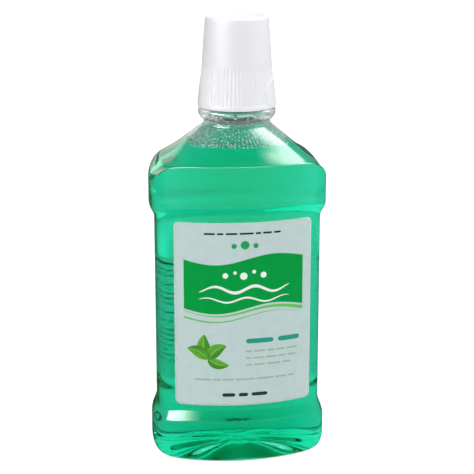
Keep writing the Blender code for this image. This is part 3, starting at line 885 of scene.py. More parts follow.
    def wet(self, piece: Piece) -> None:
        """Give the inside its own walls: dull where liquid touches it, and misted with drops above, in a
        green film that is partly painted shade.
        """
        wet = ClearPlastic("wet_pet_wall", gloss=BLACK, line_depth=0.0)
        misted = ClearPlastic(
            "misted_pet_wall", haze=self.misted_haze, drop_depth=self.mist_depth, line_depth=0.0,
            gloss=self.mist_painted_reflection_tint, film_and_shade_color=self.mist_film_and_shade_color)
        for finish in (wet, misted):
            piece.data.materials.append(finish.material())
        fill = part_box("mouthwash")[1].z
        for face in piece.data.polygons:
            middle = face.center
            core = Vector((0.0, 0.0, middle.z))
            if middle.z < self.neck_foot:
                core.z = min(max(middle.z, self.panel_foot), self.shoulder_line)
            if face.normal.dot(middle - core) < 0.0:
                face.material_index = 1 if middle.z < fill else 2


@dataclass
class Mouthwash:
    """The green liquid, its meniscus, the bubbles along it and the drops above it."""

    bottle: Bottle
    sink: float = 0.2 * MM
    climb: float = 1.1 * MM
    climb_reach: float = 1.3 * MM
    line_rise: float = 0.3 * MM
    below_line: float = 0.6 * MM
    surface_gaps: tuple = (16.0, 12.0, 8.0, 5.5, 3.8, 2.6, 1.7, 1.0, 0.5, 0.2)
    shoulder_count: int = 20
    bubbles: int = 1100
    bubble_sizes: tuple = (0.15, 0.50)
    bubble_spread: float = 1.8
    bubble_lift: float = 0.25
    drops: int = 1300
    drop_sizes: tuple = (0.16, 0.46)
    drop_foot: float = 0.7 * MM
    drop_reach: float = 7.2 * MM
    drop_crowding: float = 1.5
    drop_sink: float = 0.1 * MM
    drop_flatness: float = 0.75
    seed: int = 7

    def __post_init__(self) -> None:
        """Read the fill height from the frame."""
        self.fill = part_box("mouthwash")[1].z
        self.wall_rings = inset(self.bottle.body_rings(), self.bottle.wall - self.sink)

    def cut_ring(self, height: float) -> Ring:
        """The points where the wall passes one height of the shoulder."""
        stack = np.array(self.wall_rings)[:self.shoulder_count][::-1]
        ring = np.full((self.bottle.columns, 3), height)
        for column in range(self.bottle.columns):
            for axis in (0, 1):
                ring[column, axis] = np.interp(height, stack[:, column, 2], stack[:, column, axis])
        return ring

    def surface_rings(self) -> list[Ring]:
        """The liquid's surface from near its middle out to the wall, where it climbs."""
        edge = self.cut_ring(self.fill + self.climb)
        reach = np.linalg.norm(edge[:, :2], axis=1, keepdims=True)
        rings = []
        for gap in self.surface_gaps:
            ring = edge.copy()
            ring[:, :2] *= 1.0 - gap * MM / reach
            ring[:, 2] = self.fill + self.climb * math.exp(-gap * MM / self.climb_reach)
            rings.append(ring)
        return rings + [edge]

    def build(self) -> None:
        """Shape the liquid, and the bubbles and drops on it."""
        below = [ring for ring in self.wall_rings if ring[:, 2].max() < self.fill - self.below_line]
        rings = self.surface_rings() + [self.cut_ring(self.fill + self.line_rise)] + below
        piece = skin("green_mouthwash", rings, 60.0)
        finish = TintedLiquid("green_mouthwash", (0.0, 0.866, 0.746, 1.0), 110.0)
        dress(piece, finish.material(), Body.BOTTLE, "mouthwash")
        froth = Froth("froth_bubbles", (0.42, 0.80, 0.68, 1.0), 0.15).material()
        dress(self.make_bubbles(), froth, Body.BOTTLE)
        drops = Froth("clinging_drops", (0.36, 0.74, 0.62, 1.0), 0.40).material()
        dress(self.make_drops(), drops, Body.BOTTLE)

    def beads(self, name: str, places: np.ndarray, sizes: np.ndarray) -> Piece:
        """Copies of one small ball as one piece.

        Args:
            name: the piece's name.
            places: the middle of each ball.
            sizes: the half sizes of each ball along X, Y and Z.

        Returns:
            The piece.
        """
        deselect_all()
        bpy.ops.mesh.primitive_uv_sphere_add(segments=6, ring_count=5, radius=1.0)
        ball = bpy.context.active_object
        points = np.array([vertex.co for vertex in ball.data.vertices])
        ball.data.calc_loop_triangles()
        faces = np.array([list(face.vertices) for face in ball.data.loop_triangles])
        bpy.data.objects.remove(ball)
        all_points = (places[:, None, :] + points[None, :, :] * sizes[:, None, :]).reshape(-1, 3)
        steps = np.arange(len(places))[:, None, None] * len(points)
        all_faces = (faces[None, :, :] + steps).reshape(-1, 3)
        mesh = bpy.data.meshes.new(name)
        mesh.from_pydata(all_points.tolist(), [], all_faces.tolist())
        piece = bpy.data.objects.new(name, mesh)
        bpy.context.scene.collection.objects.link(piece)
        smooth(piece, 60.0)
        return piece

    def make_bubbles(self) -> Piece:
        """Small bubbles in a broken line where the liquid meets the wall."""
        chance = np.random.default_rng(self.seed)
        edge = self.cut_ring(self.fill + self.line_rise)
        pick = chance.uniform(0.0, self.bottle.columns, self.bubbles)
        low = np.floor(pick).astype(int) % self.bottle.columns
        share = (pick - np.floor(pick))[:, None]
        places = edge[low] * (1.0 - share) + edge[(low + 1) % self.bottle.columns] * share
        radius = chance.uniform(*self.bubble_sizes, self.bubbles) * MM
        reach = np.linalg.norm(places[:, :2], axis=1)
        gap = radius + chance.exponential(self.bubble_spread, self.bubbles) * MM
        places[:, :2] *= (1.0 - gap / reach)[:, None]
        places[:, 2] = self.fill + self.bubble_lift * radius
        return self.beads("surface_bubbles", places, np.repeat(radius[:, None], 3, axis=1))

    def make_drops(self) -> Piece:
        """Flat drops that cling to the wall above the liquid."""
        chance = np.random.default_rng(self.seed + 1)
        rise = chance.uniform(0.0, 1.0, self.drops) ** self.drop_crowding
        heights = self.fill - self.drop_foot + rise * self.drop_reach
        columns = chance.integers(0, self.bottle.columns, self.drops)
        places = np.array([self.cut_ring(height)[column] for height, column in zip(heights, columns)])
        radius = chance.uniform(*self.drop_sizes, self.drops) * MM
        reach = np.linalg.norm(places[:, :2], axis=1)
        places[:, :2] *= (1.0 - (self.sink + self.drop_sink) / reach)[:, None]
        sizes = np.stack((radius, radius, self.drop_flatness * radius), axis=1)
        return self.beads("wall_drops", places, sizes)


@dataclass
class Label:
    """A film label glued to the panel, and the patches that are printed on it."""

    bottle: Bottle
    node: str
    facing: Facing
    glue: float = 0.05 * MM
    thickness: float = 0.13 * MM
    corner: float = 2.4 * MM
    wrap: float = 0.9 * MM
    layer_step: float = 0.012 * MM
    straight_share: float = 0.86

    def __post_init__(self) -> None:
        """Read the label's outline from the frame."""
        low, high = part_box(self.node)
        self.half_width = high.x + self.wrap
        self.foot = low.z
        self.top = high.z

    def patch(self, name: str, spot: Spot, cells: tuple, layer: int) -> Piece:
        """Wrap a grid on the label.

        Args:
            name: the piece's name.
            spot: gives the place across and up the label for shares along the grid's two sides.
            cells: the grid's number of cells along its two sides.
            layer: 0 for the film itself, and 1 or more for ink on it.

        Returns:
            The patch, with its thickness.
        """
        deselect_all()
        bpy.ops.mesh.primitive_grid_add(
            x_subdivisions=cells[0], y_subdivisions=cells[1], size=2.0, calc_uvs=True,
            location=(0.0, 0.0, 0.0))
        piece = rename(bpy.context.active_object, name)
        shares = np.array([vertex.co for vertex in piece.data.vertices]) * 0.5 + 0.5
        x, z = spot(shares[:, 0], shares[:, 1])
        outset = self.thickness - self.glue + layer * self.layer_step if layer else -self.glue
        y = self.facing.value * self.bottle.panel_depth(x, outset)
        for vertex, place in zip(piece.data.vertices, np.stack((x, y, z), axis=1)):
            vertex.co = place
        edit_all(piece)
        bpy.ops.mesh.remove_doubles(threshold=0.002 * MM)
        bpy.ops.mesh.normals_make_consistent(inside=False)
        shape = bmesh.from_edit_mesh(piece.data)
        shape.normal_update()
        if sum(face.normal.y for face in shape.faces) * self.facing.value < 0.0:
            bpy.ops.mesh.flip_normals()
        bpy.ops.object.mode_set(mode="OBJECT")
        apply_modifier(
            piece, "SOLIDIFY", thickness=self.layer_step if layer else self.thickness, offset=1.0,
            use_even_offset=True)
        smooth(piece, 30.0)
        return piece

    def print(self, name: str, spots: Iterable[Spot], cells: tuple, layer: int, finish: Material) -> None:
        """Print patches on the film as one piece.

        Args:
            name: the piece's name.
            spots: the areas, each as a spot function.
            cells: each patch's number of cells along its two sides.
            layer: 1 or more, in the order of the inks.
            finish: the ink.
        """
        piece = join([self.patch(name, spot, cells, layer) for spot in spots], name)
        dress(piece, finish, Body.BOTTLE)

    def outline(self, margin: float) -> Spot:
        """The label's own outline, drawn in by a margin, as a spot function."""
        corner = self.corner - margin
        flat = self.half_width - margin - corner
        straight = self.straight_share

        def spot(u: np.ndarray, v: np.ndarray) -> tuple[np.ndarray, np.ndarray]:
            """Place on the label for shares across and up it."""
            out = np.abs(2.0 * u - 1.0)
            turn = QUARTER * np.clip((out - straight) / (1.0 - straight), 0.0, 1.0)
            x = np.sign(2.0 * u - 1.0) * np.where(
                out < straight, flat * out / straight, flat + corner * np.sin(turn))
            cut = corner * (1.0 - np.cos(turn))
            foot = self.foot + margin + cut
            return x, foot + (self.top - margin - cut - foot) * v

        return spot


def band(half: float, low: Callable, high: Callable) -> Spot:
    """A printed area between two curves.

    Args:
        half: how far it reaches to each side of the label's middle.
        low: the height of its lower edge at places across the label.
        high: the height of its upper edge.

    Returns:
        The area as a spot function.
    """

    def spot(u: np.ndarray, v: np.ndarray) -> tuple[np.ndarray, np.ndarray]:
        """Place on the label for shares along and up the band."""
        x = 2.0 * half * u - half
        return x, low(x) + (high(x) - low(x)) * v

    return spot


def bar(start: float, end: float, height: float, half: float) -> Spot:
    """A short printed bar with round ends, in place of a word.

    Args:
        start: where it starts across the label.
        end: where it ends.
        height: its height on the label.
        half: half its thickness.

    Returns:
        The bar as a spot function.
    """

    def spot(u: np.ndarray, v: np.ndarray) -> tuple[np.ndarray, np.ndarray]:
        """Place on the label for shares along and up the bar."""
        x = start + (end - start) * 0.5 * (1.0 - np.cos(math.pi * u))
        near = np.minimum(x - start, end - x)
        share = np.sqrt(np.clip(1.0 - (1.0 - np.clip(near / half, 0.0, 1.0)) ** 2, 0.0, 1.0))
        return x, height + half * share * (2.0 * v - 1.0)

    return spot


def bars(half: float, *rows: tuple) -> list[Spot]:
    """Rows of short bars in place of small print.

    Args:
        half: half the thickness of a bar, in millimetres.
        rows: for each row its height, its start and the lengths of its bars, in millimetres.

    Returns:
        The bars as spot functions.
    """
    spots = []
    for height, place, lengths in rows:
        for length in lengths:
            spots.append(bar(place * MM, (place + length) * MM, height * MM, half * MM))
            place += length + 1.9 * half
    return spots


def dots(*places: tuple) -> list[Spot]:
    """Round dots, from the place across, the height and the radius of each, in millimetres."""
    return [bar((x - radius) * MM, (x + radius) * MM, z * MM, radius * MM) for x, z, radius in places]


def leaf(root: tuple, tip: tuple, half: float, bow: float) -> Spot:
    """A leaf with a bowed middle line and a finely toothed edge.

    Args:
        root: the place of its stalk end, across and up the label, in millimetres.
        tip: the place of its tip, in millimetres.
        half: half its width, in millimetres.
        bow: how far its middle line bows out, as a share of its length.

    Returns:
        The leaf as a spot function.
    """

    def spot(u: np.ndarray, v: np.ndarray) -> tuple[np.ndarray, np.ndarray]:
        """Place on the label for shares along and across the leaf."""
        along = (tip[0] - root[0], tip[1] - root[1])
        arch = bow * np.sin(math.pi * u)
        slope = bow * math.pi * np.cos(math.pi * u)
        step_x = along[0] - along[1] * slope
        step_z = along[1] + along[0] * slope
        teeth = 1.0 + 0.05 * np.sin(24.0 * math.pi * u)
        width = half * np.sin(math.pi * u ** 0.8) ** 0.75 * teeth * (2.0 * v - 1.0)
        width = width / np.hypot(step_x, step_z)
        x = root[0] + along[0] * u - along[1] * arch - step_z * width
        z = root[1] + along[1] * u + along[0] * arch + step_x * width
        return x * MM, z * MM

    return spot


@dataclass
class FrontPrint:
    """The front label's print: a green waving band, ripples, bubbles, water lines, leaves and bars."""

    label: Label
    margin: float = 0.7 * MM
    half_width: float = 27.6 * MM
    band_top: float = 98.6 * MM
    band_foot: float = 75.2 * MM
    swing: float = 2.3 * MM
    line_half: float = 21.0 * MM
    line_length: float = 2.9 * MM
    heart: tuple = (-17.0, 51.0)

    def swell(self, middle: float) -> Callable:
        """A long wave across the label: its height at places there, for its middle height."""
        return lambda x: middle + self.swing * np.sin(math.pi * x / self.half_width)

    def ripple(self, gap: float, thick: float, side: float) -> Spot:
        """A light ripple under the band.

        Args:
            gap: its distance from the band.
            thick: its greatest thickness.
            side: 1 if it is thick at the right, and -1 at the left.

        Returns:
            The ripple as a spot function.
        """
        upper = self.swell(self.band_foot - gap)

        def lower(x: np.ndarray) -> np.ndarray:
            """Height of the lower edge."""
            return upper(x) - thick * np.clip(0.56 + 0.44 * side * x / self.half_width, 0.1, 1.0)

        return band(self.half_width, lower, upper)

    def water_line(self, height: float, size: float, half: float, start: float) -> Spot:
        """A waving line that tapers to its ends.

        Args:
            height: its middle height.
            size: how far it swings.
            half: half its thickness in the middle.
            start: the angle at which its wave begins.

        Returns:
            The line as a spot function.
        """

        def edge(side: float) -> Callable:
            """Height of the edge on one side, 1 for the upper one and -1 for the lower."""
            return lambda x: (
                height + size * np.sin(x / self.line_length + start)
                + side * half * np.sqrt(np.clip(1.0 - (x / self.line_half) ** 2, 0.0, 1.0)))

        return band(self.line_half, edge(-1.0), edge(1.0))

    def build(self) -> None:
        """Print the label."""
        white = ink("white_ink", (0.80, 0.84, 0.80))
        dark = ink("dark_ink", (0.025, 0.035, 0.035))
        green = band(self.half_width, self.swell(self.band_foot), self.swell(self.band_top))
        ripples = (
            self.ripple(0.9 * MM, 1.7 * MM, 1.0), self.ripple(3.6 * MM, 0.9 * MM, -1.0))
        lines = (
            self.water_line(84.6 * MM, 1.5 * MM, 0.75 * MM, 0.0),
            self.water_line(79.6 * MM, 1.1 * MM, 0.45 * MM, 1.3))
        bubbles = dots(
            (-9.0, 91.3, 1.3), (-4.6, 92.6, 0.8), (-0.6, 91.0, 1.7), (4.2, 92.9, 0.9), (8.6, 91.2, 1.4))
        mark = dots((-5.0, 105.2, 1.2), (0.0, 105.6, 2.0), (5.0, 105.2, 1.2))
        top = bars(0.45, (111.0, -18.6, (5.0, 3.0, 5.4, 6.6, 2.6, 4.2, 3.4)))
        pale = bars(
            0.42, (54.6, 0.5, (2.8, 5.6, 3.4, 4.4, 5.2)), (51.3, 0.5, (2.6, 5.0, 5.6, 3.4, 4.2)),
            (48.0, 0.5, (3.0, 5.2, 6.8, 4.0)), (41.0, -23.0, (7.4, 3.6, 5.4, 9.0, 8.2, 5.4, 3.0)))
        leaves = [leaf(self.heart, *sizes) for sizes in (
            ((-26.2, 56.0), 2.9, -0.12), ((-18.6, 63.0), 3.1, 0.10),
            ((-8.6, 57.6), 3.0, 0.12), ((-7.4, 48.0), 2.4, -0.10))]
        for name, spots, cells, layer, finish in (
                ("front_ground", [self.label.outline(self.margin)], (60, 24), 1,
                 ink("ground_ink", (0.49, 0.61, 0.60))),
                ("front_green_band", [green], (72, 10), 2, ink("green_ink", (0.0, 0.300, 0.050))),
                ("front_light_ripples", ripples, (72, 2), 2,
                 ink("light_green_ink", (0.14, 0.50, 0.13))),
                ("front_water_lines", lines, (120, 2), 3, white),
                ("front_bubbles", bubbles, (24, 4), 3, white),
                ("front_mark", mark, (24, 4), 3, ink("mark_ink", (0.02, 0.33, 0.10))),
                ("front_top_bars", top, (12, 3), 2, dark),
                ("front_volume_bars", bars(0.85, (33.4, -10.5, (6.0, 4.4, 7.6))), (12, 3), 2, dark),
                ("front_teal_bars", bars(1.15, (59.6, 0.5, (13.0, 10.5))), (12, 3), 2,
                 ink("teal_ink", (0.02, 0.30, 0.22))),
                ("front_pale_bars", pale, (12, 3), 2, ink("pale_green_ink", (0.30, 0.46, 0.34))),
                ("front_leaf_sprig", leaves, (40, 8), 3, LeafInk().material())):
            self.label.print(name, spots, cells, layer, finish)


@dataclass
class BackPrint:
    """The back label's print: a header and rows of bars for small print, under its clear top."""

    label: Label
    ground_top: float = 89.0 * MM
    half_width: float = 27.5 * MM
    row_step: float = 2.6 * MM
    header: tuple = (3.2 * MM, 2.0 * MM)
    seed: int = 11

    def rows(self) -> list[Spot]:
        """Rows of bars of uneven lengths, in blocks with a gap after each."""
        chance = np.random.default_rng(self.seed)
        spots = []
        height = self.ground_top - 6.0 * MM
        while height > self.label.foot + 5.0 * MM:
            place = -self.half_width + 2.5 * MM
            end = self.half_width - chance.uniform(3.0, 14.0) * MM
            while place < end:
                length = chance.uniform(2.0, 6.5) * MM
                spots.append(bar(place, place + length, height, 0.24 * MM))
                place += length + 0.9 * MM
            height -= self.row_step * (1.7 if chance.uniform() < 0.25 else 1.0)
        return spots

    def build(self) -> None:
        """Print the label."""
        edges = [lambda x, drop=drop: np.full_like(x, self.ground_top - drop) for drop in self.header]
        self.label.print(
            "back_green_header", [band(self.half_width, *edges)], (60, 12), 2,
            ink("back_green_ink", (0.0, 0.300, 0.050)))
        self.label.print(
            "back_small_bars", self.rows(), (8, 3), 2, ink("back_dark_ink", (0.025, 0.035, 0.035)))


@dataclass
class Labels:
    """Both film labels and their print."""

    bottle: Bottle

    def build(self) -> None:
        """Shape the films and print them."""
        for node, facing, clear_above, artwork in (
                ("front_label", Facing.FRONT, 1.0, FrontPrint),
                ("back_label", Facing.BACK, BackPrint.ground_top, BackPrint)):
            name = node + "_film"
            finish = Moulded(
                name, (0.82, 0.86, 0.85), (0.79, 0.84, 0.83), 60.0, (0.26, 0.38), 1400.0, 0.00001,
                specular=0.3, inner_glow=1.0, glow_reach=0.001, clear_above=clear_above)
            label = Label(self.bottle, node, facing)
            piece = label.patch(name, label.outline(0.0), (72, 28), 0)
            dress(piece, finish.material(), Body.BOTTLE, node)
            artwork(label).build()


@dataclass
class Cap:
    """The tapered white overcap with its fine ribs and two smooth thumb pads."""

    columns: int = 300
    rim_lip: float = 1.7 * MM
    flare: float = 2.0 * MM
    crown_height: float = 23.0 * MM
    crown_taper: float = 1.7 * MM
    edge_round: float = 0.9 * MM
    edge_width: float = 1.3 * MM
    recess: float = 0.5 * MM
    wall: float = 0.85 * MM
    pole: float = 1.5 * MM
    ribs: int = 60
    rib_depth: float = 0.28 * MM
    rib_fade: float = 2.2 * MM
    pad_turn: float = math.radians(-16.0)
    pad_half: float = 9.8 * MM
    pad_height: float = 11.2 * MM
    pad_straight: float = 0.45
    pad_proud: float = 0.1 * MM
    pad_rim: float = 0.12 * MM
    pad_blend: float = 0.35 * MM
    rim_width: float = 0.3 * MM
    rib_lift: float = 0.25 * MM
    rib_rings: int = 42
    tooth_turn: float = math.radians(58.0)
    tooth_reach: float = 1.6 * MM
    tooth_half_angle: float = math.radians(5.0)
    tooth_foot: float = 0.6 * MM

    def __post_init__(self) -> None:
        """Read the cap's box from the frame."""
        low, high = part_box("cap_shell")
        self.rim = low.z
        self.top = high.z
        self.rim_radius = high.y
        self.kink = self.top - self.crown_height
        self.kink_radius = self.rim_radius - self.flare
        self.crown_radius = self.kink_radius - self.crown_taper
        self.turn = angles(self.columns)

    def cone(self, height: float) -> float:
        """Outer radius between the ribs at a height."""
        if height < self.kink:
            return blend(self.rim_radius, self.kink_radius, (height - self.rim) / (self.kink - self.rim))
        return blend(self.kink_radius, self.crown_radius, (height - self.kink) / self.crown_height)

    def pad_depth(self, height: float) -> np.ndarray:
        """How deep each point of a ring lies inside the arch of a thumb pad; negative is outside."""
        across = np.abs(off_pair(self.turn, self.pad_turn)) * self.cone(height)
        up = height - self.rim - self.rim_lip
        straight = self.pad_straight * self.pad_height
        if up < straight:
            return self.pad_half - across
        reach = self.pad_height - straight
        return (1.0 - np.hypot(across / self.pad_half, (up - straight) / reach)) * reach

    def outer_ring(self, height: float) -> Ring:
        """The outside of the cap at a height, with ribs and pads."""
        foot = self.rim + self.rim_lip
        lift = np.clip((height - foot) / self.rib_lift, 0.0, 1.0)
        fade = np.clip((self.kink + self.rib_fade - height) / self.rib_fade, 0.0, 1.0)
        groove = 0.5 - 0.5 * np.cos(self.ribs * self.turn)
        depth = self.pad_depth(height)
        inside = np.clip(depth / self.pad_blend + 0.5, 0.0, 1.0) * lift
        rim = np.exp(-(depth / self.rim_width) ** 2) * lift
        radii = self.cone(height) - self.rib_depth * groove * fade * lift * (1.0 - inside)
        return circle(radii + self.pad_proud * inside + self.pad_rim * rim, height, self.columns)

    def outside(self) -> list[Ring]:
        """Rings from the middle of the top down to the rim."""
        floor = self.top - self.recess
        inner = self.crown_radius - self.edge_width - self.edge_round
        crown = circles(
            self.columns, (self.pole, floor), (inner - 2.0 * MM, floor), (inner - self.recess, floor),
            (inner - 0.2 * self.recess, floor + 0.25 * self.recess),
            (inner, self.top - 0.1 * self.recess), (inner + 0.25 * self.edge_width, self.top),
            *rounding(self.crown_radius, self.top, self.edge_round, np.linspace(0.0, 1.0, 6)))
        fade_top = self.kink + self.rib_fade
        heights = (
            self.top - 4.0 * MM, self.top - 12.0 * MM, fade_top + 1.2 * MM,
            *np.linspace(fade_top, self.rim + self.rim_lip, self.rib_rings),
            self.rim + 0.8 * self.rim_lip, self.rim + 0.25 * MM)
        rim = circles(self.columns, (self.rim_radius - 0.1 * MM, self.rim))
        return crown + [self.outer_ring(height) for height in heights] + rim

    def inside(self) -> list[Ring]:
        """Rings from the rim up to the ceiling, with two ratchet teeth near the rim."""
        skin_depth = self.rib_depth + self.wall
        rings = circles(self.columns, (self.cone(self.rim) - skin_depth, self.rim))
        off = off_pair(self.turn, self.tooth_turn)
        ramp = np.clip(1.0 - np.abs(off) / self.tooth_half_angle, 0.0, 1.0)
        foot = self.rim + self.tooth_foot
        for height, share in (
                (foot, 0.0), (foot + 0.3 * MM, 1.0), (foot + 1.7 * MM, 1.0), (foot + 2.0 * MM, 0.0)):
            radii = self.cone(height) - skin_depth - self.tooth_reach * ramp * share
            rings.append(circle(radii, height, self.columns))
        ceiling = self.top - self.recess - self.wall
        last = self.cone(ceiling) - skin_depth
        heights = (self.kink - 3.0 * MM, self.kink, self.kink + 3.0 * MM, ceiling - self.edge_round)
        return rings + circles(
            self.columns, *((self.cone(height) - skin_depth, height) for height in heights),
            (last - 0.3 * self.edge_round, ceiling - 0.3 * self.edge_round),
            (last - self.edge_round, ceiling), (self.pole, ceiling))

    def build(self) -> None:
        """Shape the overcap."""
        finish = Moulded(
            "white_polypropylene", (0.80, 0.80, 0.825), (0.775, 0.775, 0.80), 45.0, (0.30, 0.42),
            2600.0, 0.000012, inner_glow=0.25, glow_reach=0.0015)
        piece = skin("white_overcap", self.outside() + self.inside(), 50.0)
        dress(piece, finish.material(), Body.CAP, "cap_shell")


@dataclass
class Cup:
    """The moulding inside the cap: a threaded sleeve, a step, and the dosing cup above it."""

    bottle: Bottle
    columns: int = 120
    sleeve_wall: float = 0.8 * MM
    wall: float = 0.9 * MM
    round: float = 1.2 * MM
    mouth_margin: float = 0.4 * MM
    taper: float = 0.9 * MM
    step: float = 1.0 * MM
    edge: float = 0.3 * MM
    pole: float = 1.5 * MM
    thread_depth: float = 0.8 * MM

    def __post_init__(self) -> None:
        """Read the moulding's box from the frame."""
        low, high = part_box("cap_cup")
        self.foot = low.z
        self.top = high.z
        self.sleeve_outer = high.x
        self.sleeve = self.sleeve_outer - self.sleeve_wall
        self.mouth = self.bottle.finish_radius - self.bottle.finish_wall + self.mouth_margin
        self.step_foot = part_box("seal_liner")[1].z + self.edge

    def sleeve_ring(self, height: float) -> Ring:
        """The sleeve's inside at a height, with its thread between the turns of the bottle's."""
        thread = Thread(self.bottle.thread_start + 0.5 * Thread.pitch)
        radii = self.sleeve - self.thread_depth * thread.ridge(height, self.columns)
        return circle(radii, height, self.columns)

    def build(self) -> None:
        """Shape the moulding."""
        ceiling = self.top - self.wall
        head = self.mouth - self.taper
        outer = self.mouth + self.wall
        step_top = self.step_foot + self.step
        cup = circles(
            self.columns, (self.pole, ceiling), (head - self.round, ceiling),
            (head - 0.3 * self.round, ceiling - 0.3 * self.round), (head, ceiling - self.round),
            (blend(head, self.mouth, 0.5), 0.5 * (ceiling + self.step_foot)),
            (self.mouth, self.step_foot + self.edge), (self.mouth, self.step_foot),
            (self.sleeve - self.edge, self.step_foot), (self.sleeve, self.step_foot - self.edge))
        heights = np.arange(self.step_foot - 0.9 * MM, self.foot + 0.3 * MM, -0.4 * MM)
        outside = circles(
            self.columns, (self.sleeve, self.foot), (self.sleeve_outer, self.foot),
            (self.sleeve_outer, self.foot + 0.4 * MM), (self.sleeve_outer, step_top - self.edge),
            (self.sleeve_outer - self.edge, step_top), (outer, step_top),
            (outer, step_top + 0.4 * MM), (head + self.wall, self.top - self.round),
            (head + self.wall - 0.3 * self.round, self.top - 0.3 * self.round),
            (head + self.wall - self.round, self.top), (self.pole, self.top))
        rings = cup + [self.sleeve_ring(height) for height in heights] + outside
        finish = Moulded(
            "natural_polypropylene", (0.74, 0.755, 0.765), (0.70, 0.715, 0.725), 60.0, (0.28, 0.40),
            2200.0, 0.00001, inner_glow=0.3, glow_reach=0.002)
        dress(skin("dosing_cup", rings, 50.0), finish.material(), Body.CAP, "cap_cup")


@dataclass(frozen=True)
class Liner:
    """The foam ring under the cap, which stays as its CAD node with a foam finish."""

    def build(self) -> None:
        """Give the node its finish."""
        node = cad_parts["seal_liner"]
        finish = Moulded(
            "polyethylene_foam", (0.84, 0.84, 0.80), (0.74, 0.74, 0.70), 900.0, (0.65, 0.85), 2500.0,
            0.00006)
        node.data.materials.clear()
        node.data.materials.append(finish.material())
        LOG.info("seal_liner keeps its node, with a foam finish")


def hang(name: str, data: bpy.types.ID, place: tuple, aim: tuple) -> Piece:
    """Put a lamp or a camera at a place, facing another."""
    piece = bpy.data.objects.new(name, data)
    bpy.context.scene.collection.objects.link(piece)
    piece.location = place
    piece.rotation_euler = (Vector(aim) - Vector(place)).to_track_quat("-Z", "Y").to_euler()
    return piece


@dataclass(frozen=True)
class Softbox:
    """A square or oblong lamp that faces the bottle."""

    name: str
    place: tuple
    aim: tuple
    size: tuple
    watts: float

    def build(self) -> None:
        """Hang the lamp."""
        light = bpy.data.lights.new(self.name, "AREA")
        light.shape = "RECTANGLE"
        light.size, light.size_y = self.size
        light.energy = self.watts
        # Hidden from gloss: painted cards in the surroundings stand in for the lamp's reflection.
        hang(self.name, light, self.place, self.aim).visible_glossy = False


